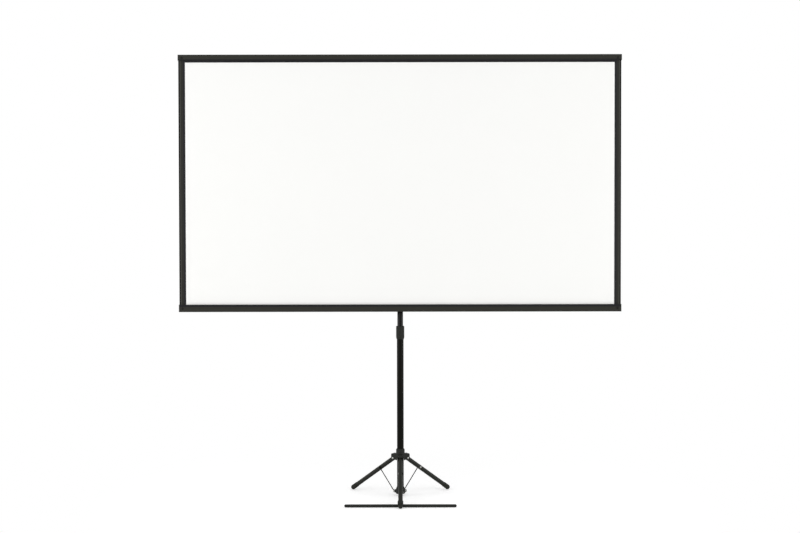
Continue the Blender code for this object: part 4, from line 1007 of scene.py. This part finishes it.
class SCREEN_OT_case(bpy.types.Operator):
    """Make the case, its end caps, and the roller with its spring"""

    bl_idname = "pull_up_screen.case"
    bl_label = "Case and roller"

    def execute(self, context):
        sizes = settings().sizes
        fabric_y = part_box("screen_fabric")[1].y - sizes.sheet_thickness / 2
        make_channel("case", "case_body", fabric_y, True)
        make_caps("case")
        for name in SIDES:
            give_finish("roller_plug_" + name, "nylon")
        for node in ("roller_arbor", "roller_gudgeon"):
            give_finish(node, "zinc")
        self.make_roller(sizes)
        return {"FINISHED"}

    def make_roller(self, sizes):
        """The drawn roller tube and the coil spring inside it, both about the roller's axis."""
        low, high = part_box("roller_tube")
        axis = Vector((0, (low.y + high.y) / 2, (low.z + high.z) / 2))
        tube = tube_mesh((high.z - low.z) / 2, sizes.rod_wall, low.x, high.x, "steel")
        tube.transform(Matrix.Translation(axis) @ ALONG_X)
        as_piece(
            "roller_drum", smoothed(tube), "steel", "roller", ["roller_tube"]
        )
        low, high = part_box("roller_spring")
        wire = sizes.spring_wire
        inputs = {"Radius": (high.z - low.z) / 2 - wire / 2, "Length": high.x - low.x - wire}
        inputs.update({"Turns": float(sizes.spring_turns), "Wire": wire})
        coil = by_nodes(spring_tree(), inputs, "steel")
        coil.transform(Matrix.Translation((low.x + wire / 2, axis.y, axis.z)) @ ALONG_X)
        as_piece(
            "roller_coil", smoothed(coil, 60), "steel", "roller", ["roller_spring"]
        )


class SCREEN_OT_top_bar(bpy.types.Operator):
    """Make the top bar and its end caps"""

    bl_idname = "pull_up_screen.top_bar"
    bl_label = "Top bar"

    def execute(self, context):
        make_channel("bar", "top_bar", axis_of("top_bar")[1], False)
        make_caps("bar")
        give_finish("keder_rod", "acetal")
        return {"FINISHED"}


class SCREEN_OT_mast(bpy.types.Operator):
    """Make the mast tubes, the rods, their bushes and the twist collar"""

    bl_idname = "pull_up_screen.mast"
    bl_label = "Mast and rods"

    def execute(self, context):
        sizes = settings().sizes
        for row in (
            ("mast_tube_lower", "lower_mast", sizes.mast_wall, "mast", "mast_base", "black_mast"),
            ("mast_tube_middle", "middle_mast", sizes.mast_wall, "gloss", "case", "polished_black"),
            ("rod_tube_lower", "lower_rod", sizes.rod_wall, "gloss", "rod", "polished_black"),
            ("rod_tube_upper", "upper_rod", sizes.rod_wall, "gloss", "bar", "polished_black"),
        ):
            tube_piece(*row)
        for end, body in (("lower", "case"), ("upper", "rod")):
            names = end + "_rod_bush", "bush_" + end
            refined(*names, "nylon", body, "matte_grey_nylon", FINE_EDGE)
        give_finish("mast_collet", "acetal")
        self.make_collar(sizes)
        return {"FINISHED"}

    def make_collar(self, sizes):
        """The twist collar, with flutes that fade out towards its ends."""
        x, y, bottom, top = axis_of("twist_collar")
        outer, length = radius_of("twist_collar"), top - bottom
        inner, throat = (radius_of(tube) + SLIDE_PLAY for tube in ("lower_mast", "middle_mast"))
        # Heights are shares of the collar's length.
        flute_low, flute_high = bottom + 0.2 * length, top - 0.12 * length
        fade = 0.03 * length
        corners = [
            (outer * 0.89, top, 0.0008),
            (outer, top - 0.05 * length, 0.0012),
            (outer, flute_high, 0),
            (outer, flute_high - fade, 0),
            (outer, flute_low + fade, 0),
            (outer, flute_low, 0),
            (outer, bottom + 0.16 * length, 0.002),
            (outer * 0.885, bottom, 0.0008),
            (inner, bottom),
            (inner, flute_high, 0),
            (throat, flute_high, 0),
            (throat, top),
        ]

        def fluted(radius, height, angle):
            if radius < outer * 0.995 or not flute_low < height < flute_high:
                return radius
            return radius - sizes.flute_depth * max(0, math.cos(sizes.flutes * angle)) ** 1.5

        place = Matrix.Translation((x, y, 0))
        mesh = turned(eased(corners, sizes.ease), 12 * sizes.flutes, place, fluted)
        as_piece(
            "collar_fluted", mesh, "nylon", "collar", ["twist_collar"]
        )


class SCREEN_OT_brackets(bpy.types.Operator):
    """Make the bracket that carries the case and the hanger that carries the top bar"""

    bl_idname = "pull_up_screen.brackets"
    bl_label = "Bracket and hanger"

    def execute(self, context):
        refined("case_bracket", "mast_bracket", "nylon", "case", "matte_grey_nylon", SOFT_EDGE)
        refined("bar_hanger", "rod_hanger", "nylon", "bar", "matte_grey_nylon", SOFT_EDGE)
        return {"FINISHED"}


class SCREEN_OT_hub(bpy.types.Operator):
    """Make the leg hub, its knob and the lower collar"""

    bl_idname = "pull_up_screen.hub"
    bl_label = "Hub and lower collar"

    def execute(self, context):
        sizes = settings().sizes
        x, y, floor, _ = axis_of("lower_mast")
        place = Matrix.Translation((x, y, 0))
        mast_radius = radius_of("lower_mast")
        self.make_hub(sizes, x, y, place, mast_radius)
        self.make_lower_collar(sizes, place, mast_radius, floor)
        refined("hub_knob", "lock_knob", "caps", "knob", "moulded_black", KNOB_EDGE)
        return {"FINISHED"}

    def make_hub(self, sizes, x, y, place, mast_radius):
        """A sleeve on the mast with a forked ear for each leg and a boss for the knob."""
        bottom, top = axis_of("leg_hub")[2:]
        pivot = Vector(JOINTS["front_leg_fold"]["pos_m"])
        away, height = abs(pivot.y - y), pivot.z
        radius, shoulder, corner = sizes.hub_radius, sizes.hub_shoulder, sizes.ear_corner
        sleeve = [(0, top), (radius - shoulder * 0.7, top), (radius, top - shoulder)]
        sleeve += [(radius, bottom), (0, bottom)]
        start, floor = mast_radius / 2, bottom + EAR_INSET
        reach, roof = away + sizes.ear_reach, height + sizes.ear_rise
        ear = [(start, floor), (start, roof), (reach, roof, corner), (reach, floor, corner)]
        half_slot = sizes.leg_radius + sizes.ear_play
        inner, ceiling = away - sizes.leg_radius - sizes.ear_play, height + half_slot
        slot = [(inner, bottom - PAST), (inner, ceiling, SLOT_CORNER), (reach + PAST, ceiling)]
        slot.append((reach + PAST, bottom - PAST))
        forms = [turned(eased(sleeve, ROUNDED), FINE_STEPS, place)]
        cuts = []
        side = sizes.ear_side
        for name in LEGS:
            upright = spoke(name)
            forms.append(slab(eased(ear, 0, 6), -side, side, upright, SOFT_EDGE))
            cuts.append(slab(eased(slot, 0, 6), -half_slot, half_slot, upright))
        knob_axis = Matrix.Translation((x, y, middle_of("hub_knob").z)) @ INTO_SCREEN
        boss, boss_end = sizes.knob_boss, radius + sizes.knob_reach
        forms.append(round_bar(boss, start, boss_end, knob_axis))
        stem_end = radius + 2 * sizes.knob_reach
        cuts.append(round_bar(boss / 2, start + MILLIMETRE, stem_end, knob_axis, STEM_STEPS))
        bore = mast_radius + BORE_PLAY
        cuts.append(round_bar(bore, bottom - PAST, top + PAST, place, BORE_STEPS))
        mesh = fused(forms, cuts)
        moulded(mesh, "tripod_hub", "nylon", "hub", "leg_hub", "matte_grey_nylon", EDGE)

    def make_lower_collar(self, sizes, place, mast_radius, floor):
        """A bowl on the mast's foot with a lug beside each brace."""
        bottom, top = axis_of("lower_collar")[2:]
        belly, height = sizes.bowl_radius, top - bottom
        rim = top - 0.1 * height
        bowl = [
            (0, rim),
            (mast_radius + 0.0014, rim),
            (belly - 0.0012, bottom + 0.52 * height, 0.004),
            (belly, bottom + 0.38 * height, 0.003),
            (belly - 0.001, bottom, 0.006),
            (0, bottom),
        ]
        forms = [turned(eased(bowl, SOFT_EDGE, 4), FINE_STEPS, place)]
        low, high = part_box("brace_pin_front")
        middle = (low.z + high.z) / 2
        start, reach, half = mast_radius / 2, sizes.lug_reach, sizes.lug_height / 2
        lug = [(start, middle - half), (start, middle + half)]
        lug += [(reach, middle + half, half * 0.9), (reach, middle - half, half * 0.9)]
        face, back = sizes.lug_face, sizes.lug_back
        for name in LEGS:
            forms.append(slab(eased(lug, 0, 8), -face, back, spoke(name), SOFTENED))
        # The bore stops just below the mast's end, so that the mast stands in the bowl.
        bore = round_bar(
            mast_radius + BORE_PLAY, floor - BORE_PLAY, top + PAST, place, BORE_STEPS
        )
        moulded(
            fused(forms, [bore]),
            "brace_collar",
            "nylon",
            "mast_base",
            "lower_collar",
            "matte_grey_nylon",
            EDGE,
        )


def ball_end(radius, middle, way, steps=10):
    """Profile points of a half ball about the axis, from its rim to its pole."""
    points = []
    for step in range(steps + 1):
        angle = math.pi / 2 * step / steps
        points.append((radius * math.cos(angle), middle + way * radius * math.sin(angle)))
    points[-1] = (0, points[-1][1])
    return points


def along_leg(name, node):
    """How far down a leg a node starts and ends, and its reach sideways from the axis."""
    back = leg_frame(name).inverted()
    points = [back @ point for point in points_of(node)]
    down = [point.x for point in points]
    return min(down), max(down), max(abs(point.y) for point in points)


class SCREEN_OT_legs(bpy.types.Operator):
    """Make the legs, their feet and their braces"""

    bl_idname = "pull_up_screen.legs"
    bl_label = "Legs, feet and braces"

    def execute(self, context):
        sizes = settings().sizes
        radius = sizes.leg_radius
        inside, depth = radius - sizes.mast_wall, 1.4 * radius
        for name in LEGS:
            place = leg_frame(name) @ ALONG_X
            end = along_leg(name, "leg_" + name)[1]
            # The tube is open at the foot, and closed by a ball at the pivot.
            profile = [(0, depth), (inside, depth), (inside, end), (radius, end)]
            mesh = turned(profile + ball_end(radius, 0, -1), ROUND_STEPS, place)
            as_piece(
                "leg_tube_" + name,
                mesh,
                "powder",
                name + "_leg",
                ["leg_" + name],
            )
            self.make_foot(name, place, radius)
            names = "brace_" + name, "wire_brace_" + name
            refined(*names, "mast", name + "_brace", "black_powder_coat", EDGE)
        return {"FINISHED"}

    def make_foot(self, name, place, bore):
        """A rubber foot with a ball end that is flat where it stands on the floor."""
        start, end, outer = along_leg(name, "foot_cap_" + name)
        outer = max(outer, bore)
        centre = end - outer
        profile = ball_end(outer, centre, 1)[::-1]
        if name == "front":
            # The front foot is a plug whose spigot goes up into the tube.
            spigot, shoulder = outer * SPIGOT_SHARE, start + SPIGOT_LENGTH
            corners = [(outer, shoulder), (spigot, shoulder), (spigot, start)]
            profile += eased(corners, FINE_EDGE)[1:]
            profile += [(0, start)]
        else:
            # The rear feet are caps that go over the tubes.
            seat = centre - SEAT_INSET
            profile += eased([(outer, start), (bore, start), (bore, seat)], SOFTENED)
            profile += [(0, seat)]

        def stand(work):
            """Cuts off what is below the floor."""
            cut = bmesh.ops.bisect_plane(
                work,
                geom=work.verts[:] + work.edges[:] + work.faces[:],
                plane_co=(0, 0, 0),
                plane_no=(0, 0, -1),
                clear_outer=True,
            )
            edges = [item for item in cut["geom_cut"] if isinstance(item, bmesh.types.BMEdge)]
            bmesh.ops.contextual_create(work, geom=edges)

        mesh = smoothed(reworked(turned(profile, ROUND_STEPS, place), stand))
        body, nodes = name + "_leg", ["foot_cap_" + name]
        as_piece("rubber_foot_" + name, mesh, "rubber", body, nodes)


class SCREEN_OT_wings(bpy.types.Operator):
    """Make the saddle on the front leg and the two wings"""

    bl_idname = "pull_up_screen.wings"
    bl_label = "Saddle and wings"

    def execute(self, context):
        sizes = settings().sizes
        self.make_saddle(sizes)
        for name, side in SIDES.items():
            self.make_wing(sizes, name, side)
        return {"FINISHED"}

    def make_wing(self, sizes, name, side):
        """A slightly tapered bar with round ends, stepped down to a flat tongue at its pin."""
        thick = sizes.wing_radius
        thin = thick * WING_TAPER
        joint = wing_joint(name)
        length = sizes.wing_reach - abs(joint.translation.x)
        profile = ball_end(thin, length - thin, 1)[::-1] + ball_end(thick, 0, -1)
        turn = Matrix.Rotation(side * math.pi / 2, 4, "Y")
        bar = turned(profile, ROUND_STEPS, Matrix.Translation(joint.translation) @ turn)
        shoulder = thick + sizes.wing_play
        step = [(x * 2 * thick, side * (shoulder if y > 0 else -2 * thick)) for x, y in SQUARE]
        steps = [slab(step, way * sizes.tongue / 2, way * 2 * thick, joint) for way in (-1, 1)]
        names = "wing_bar_" + name, "nylon", name + "_wing", "wing_" + name
        moulded(fused([bar], steps), *names, "matte_grey_nylon", FINE_EDGE)

    def make_saddle(self, sizes):
        """A ring on the front leg over a forked cross bar, which holds the wings' tongues."""
        start, end, _ = along_leg("front", "wing_saddle")
        ring_place = leg_frame("front") @ ALONG_X
        bore, outer = sizes.leg_radius + SLIDE_PLAY, sizes.leg_radius + sizes.saddle_wall
        ring = eased([(0, end), (outer, end), (outer, start), (0, start)], SOFTENED)
        centre = wing_joint("right")
        across = centre.translation.x
        centre.translation.x = 0
        thick = sizes.wing_radius
        reach = across + thick - sizes.wing_play
        # The round bar goes beyond the plate that it is kept within, so no two ends lie together.
        past = reach + thick / 4
        bar_place = Matrix.Translation(centre.translation) @ ALONG_X
        outline = eased([(x * thick, y * reach, thick) for x, y in SQUARE], 0, 10)
        plate = slab(outline, -2 * thick, 2 * thick, centre)
        bar = fused([round_bar(thick - BAR_INSET, -past, past, bar_place)], within=[plate])
        drop = (leg_frame("front").inverted() @ centre.translation).z
        half = sizes.web_width / 2
        rectangle = [(x * thick * 0.9, y * half) for x, y in SQUARE]
        web = slab(rectangle, 0, -drop - bore / 2, centre, SOFTENED)
        cuts = [round_bar(bore, start - PAST, end + PAST, ring_place, RING_BORE_STEPS)]
        inner = across - thick - 2 * sizes.wing_play
        gap = sizes.tongue / 2 + sizes.wing_play / 2
        for side in SIDES.values():
            box = [(x * 2.2 * thick, side * (inner if y < 0 else reach + PAST)) for x, y in SQUARE]
            cuts.append(slab(box, -gap, gap, centre))
        mesh = fused([turned(ring, ROUND_STEPS, ring_place), bar, web], cuts)
        names = "leg_saddle", "nylon", "front_leg", "wing_saddle"
        moulded(mesh, *names, "matte_grey_nylon", FINE_EDGE)


def screw_mesh(radius, height):
    """A pan head screw about Z, its head above the seat at zero, with a cross recess."""
    shank = radius * 0.4
    profile = [(0, height), (radius * 0.55, height * 0.96), (radius * 0.85, height * 0.7)]
    profile += [(radius, height * 0.25), (radius, 0), (shank, 0), (shank, -radius), (0, -radius)]
    extent, middle = (radius * 1.15, radius * 0.24, height), (0, 0, height * 0.95)
    blades = []
    for turn in (0, 90):
        blade = bmesh.new()
        bmesh.ops.create_cube(blade, size=1)
        bmesh.ops.scale(blade, vec=extent, verts=blade.verts)
        bmesh.ops.translate(blade, vec=middle, verts=blade.verts)
        blade.transform(Matrix.Rotation(math.radians(turn), 4, "Z"))
        blades.append(mesh_from(blade, "blade"))
    return combined(turned(profile, SMALL_STEPS), {"DIFFERENCE": blades})


def pin_mesh(radius, head_radius, head_height, length, both):
    """A riveted pin about Z, from zero down, with a domed head above and maybe one below."""
    dome = [(0, head_height), (head_radius * 0.5, head_height * 0.9)]
    dome += [(head_radius * 0.83, head_height * 0.6), (head_radius, head_height * 0.15)]
    dome += [(head_radius, 0), (radius, 0)]
    foot = [(radius, -length), (0, -length)]
    if both:
        foot = [(r, -length - h) for r, h in reversed(dome)]
    return turned(dome + foot, SMALL_STEPS)


class SCREEN_OT_hardware(bpy.types.Operator):
    """Set the screws, rivets and pins in place, one piece for each body"""

    bl_idname = "pull_up_screen.hardware"
    bl_label = "Screws, rivets and pins"

    def execute(self, context):
        self.make_screws("case", ("case", "bracket"))
        self.make_screws("bar", ("bar", "hanger"))
        self.make_pins("hub", ["leg_pin_" + name for name in LEGS], LEG_PIN, True)
        self.make_pins("mast_base", ["brace_pin_" + name for name in LEGS], BRACE_PIN, True)
        for name in LEGS:
            self.make_pins(name + "_leg", ["leg_rivet_" + name], RIVET, False)
        self.make_wing_pins()
        return {"FINISHED"}

    def make_wing_pins(self):
        """A low headed pin through each end of the saddle's cross bar."""
        thick, sunk = settings().sizes.wing_radius, 0.0008
        places = []
        for name in SIDES:
            joint = wing_joint(name)
            up = joint.to_3x3() @ Vector((0, 0, 1))
            places.append((joint.translation + up * (thick - sunk), up))
        mesh = pin_mesh(*WING_PIN, 2 * (thick - sunk), True)
        made = copies(mesh, places, "oxide")
        nodes = ["wing_pin_" + name for name in SIDES]
        as_piece("wing_pins", made, "oxide", "front_leg", nodes)

    def make_screws(self, body, kinds):
        """Screws that face the viewer in the caps, and away from the viewer in the bracket."""
        nodes, places = [], []
        for kind in kinds:
            for name in SIDES:
                node = f"{kind}_{name}_screw" if kind == body else f"{kind}_screw_{name}"
                low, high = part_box(node)
                way = -1 if kind == body else 1
                seat = (low.y if way < 0 else high.y) - way * SCREW[1]
                middle = middle_of(node)
                nodes.append(node)
                places.append(((middle.x, seat, middle.z), (0, way, 0)))
        mesh = copies(screw_mesh(*SCREW), places, "oxide")
        as_piece(body + "_screws", mesh, "oxide", body, nodes)

    def make_pins(self, body, nodes, sizes, both):
        """Pins along each leg's own pin axis."""
        places = []
        for node in nodes:
            name = node.rsplit("_", 1)[1]
            points = points_of(node)
            middle = sum((point.copy() for point in points), Vector()) / len(points)
            facing = -Vector(JOINTS[name + "_leg_fold"]["axis"]).normalized()
            reach = [(point - middle).dot(facing) for point in points]
            head = sizes[2]
            top = max(reach) - head
            length = top - min(reach) - (head if both else 0)
            places.append((self.on_axis(points, middle, facing) + facing * top, facing))
        made = copies(pin_mesh(*sizes, length, both), places, "zinc")
        as_piece(body + "_pins", made, "zinc", body, nodes)

    def on_axis(self, points, middle, facing):
        """The middle of a pin, moved on to its axis."""
        side = facing.orthogonal().normalized()
        moved = middle.copy()
        for way in (side, facing.cross(side)):
            reach = [(point - middle).dot(way) for point in points]
            moved += way * (max(reach) + min(reach)) / 2
        return moved


def lamp(name, watts, width, height, position, target):
    """A soft area lamp aimed at a point."""
    data = bpy.data.lights.new(name, "AREA")
    data.shape = "RECTANGLE"
    data.size, data.size_y, data.energy = width, height, watts
    light = linked(name, data)
    light.location = position
    way = Vector(target) - Vector(position)
    light.rotation_euler = way.to_track_quat("-Z", "Y").to_euler()


def seen_rays(tree):
    """One for rays from the camera, from mirrors and through glass, and zero for other light."""
    rays = add_node(tree, "ShaderNodeLightPath").outputs
    indirect = calculated(tree, "MAXIMUM", rays["Is Glossy Ray"], rays["Is Transmission Ray"])
    return calculated(tree, "MAXIMUM", rays["Is Camera Ray"], indirect)


class SCREEN_OT_stage(bpy.types.Operator):
    """Make the floor, the white surroundings, the lamps and the camera"""

    bl_idname = "pull_up_screen.stage"
    bl_label = "Stage"

    def execute(self, context):
        context.scene.view_settings.view_transform = "Standard"
        self.make_floor()
        self.make_surroundings(context.scene)
        for row in LAMPS:
            lamp(*row)
        self.make_camera(context.scene)
        return {"FINISHED"}

    def make_floor(self):
        """A matt white floor that keeps the object's shadow, and is plain white further out."""
        mesh = bpy.data.meshes.new("floor")
        corners = [(x * FLOOR_REACH, y * FLOOR_REACH, -MILLIMETRE / 2) for x, y in SQUARE]
        mesh.from_pydata(corners, [], [(0, 1, 2, 3)])
        material = bpy.data.materials.new("floor_matt_white")
        tree = emptied(material)
        seen = seen_rays(tree)
        matt = add_node(tree, "ShaderNodeBsdfDiffuse", {"Color": linear("F0F0F0")}, "BSDF")
        lift = calculated(tree, "MULTIPLY", seen, FLOOR_LIFT)
        glow = add_node(tree, "ShaderNodeEmission", {"Strength": lift}, "Emission")
        near = add_node(tree, "ShaderNodeAddShader", {0: matt, 1: glow}, "Shader")
        place = add_node(tree, "ShaderNodeTexCoord", out="Object")
        distance = add_node(tree, "ShaderNodeVectorMath", {0: place}, "Value", operation="LENGTH")
        fade = {"Value": distance, "From Min": FADE_START, "From Max": FADE_END}
        away = add_node(
            tree, "ShaderNodeMapRange", fade, "Result", interpolation_type="SMOOTHSTEP"
        )
        share = calculated(tree, "MULTIPLY", away, seen)
        plain = add_node(tree, "ShaderNodeEmission", out="Emission")
        shown = add_node(tree, "ShaderNodeMixShader", {0: share, 1: near, 2: plain}, "Shader")
        add_node(tree, "ShaderNodeOutputMaterial", {"Surface": shown})
        mesh.materials.append(material)
        linked("floor", mesh)

    def make_surroundings(self, scene):
        """White all round for the camera and for reflections, and softer for the light it gives."""
        scene.world = bpy.data.worlds.new("surroundings")
        tree = emptied(scene.world)
        levels = {"Value": seen_rays(tree), "To Min": SURROUNDING_LIGHT, "To Max": 1.0}
        level = add_node(tree, "ShaderNodeMapRange", levels, "Result")
        inputs = {"Strength": level, "Color": (1, 1, 1, 1)}
        white = add_node(tree, "ShaderNodeBackground", inputs, "Background")
        add_node(tree, "ShaderNodeOutputWorld", {"Surface": white})

    def make_camera(self, scene):
        """The photograph's view: a 50 mm lens, level with the picture's lower quarter."""
        data = bpy.data.cameras.new("camera")
        data.lens, data.sensor_width = 50, 36
        data.clip_start, data.clip_end = 0.1, 100
        camera = linked("camera", data)
        shift, distance, height = -0.0004, 4.63, 1.0512
        down, roll = math.radians(1.155), math.radians(-0.091)
        camera.location = (shift, axis_of("lower_mast")[1] - distance, height)
        tilt = Matrix.Rotation(math.radians(90) - down, 4, "X")
        camera.rotation_euler = (tilt @ Matrix.Rotation(roll, 4, "Z")).to_euler()
        scene.camera = camera


class SCREEN_PT_pieces(bpy.types.Panel):
    """Lists the operators that make the pieces, and the settings they use"""

    bl_idname = "SCREEN_PT_pieces"
    bl_label = "Pull Up Screen"
    bl_space_type = "VIEW_3D"
    bl_region_type = "UI"
    bl_category = "Screen"

    def draw(self, context):
        layout = self.layout
        for operator in OPERATORS:
            layout.operator(operator.bl_idname)
        for group in (context.scene.pull_up_screen.sizes, context.scene.pull_up_screen.colours):
            box = layout.box()
            for name in group.__annotations__:
                box.prop(group, name)


OPERATORS = (
    SCREEN_OT_finishes,
    SCREEN_OT_stage,
    SCREEN_OT_fabric,
    SCREEN_OT_case,
    SCREEN_OT_top_bar,
    SCREEN_OT_mast,
    SCREEN_OT_brackets,
    SCREEN_OT_hub,
    SCREEN_OT_legs,
    SCREEN_OT_wings,
    SCREEN_OT_hardware,
)
CLASSES = (ScreenSizes, ScreenColours, ScreenSettings, *OPERATORS, SCREEN_PT_pieces)


def register():
    for item in CLASSES:
        bpy.utils.register_class(item)
    bpy.types.Scene.pull_up_screen = PointerProperty(type=ScreenSettings)


def unregister():
    del bpy.types.Scene.pull_up_screen
    for item in reversed(CLASSES):
        bpy.utils.unregister_class(item)


def main():
    """Makes every piece in order."""
    register()
    for operator in OPERATORS:
        group, name = operator.bl_idname.split(".")
        getattr(getattr(bpy.ops, group), name)()


if __name__ == "__main__":
    main()
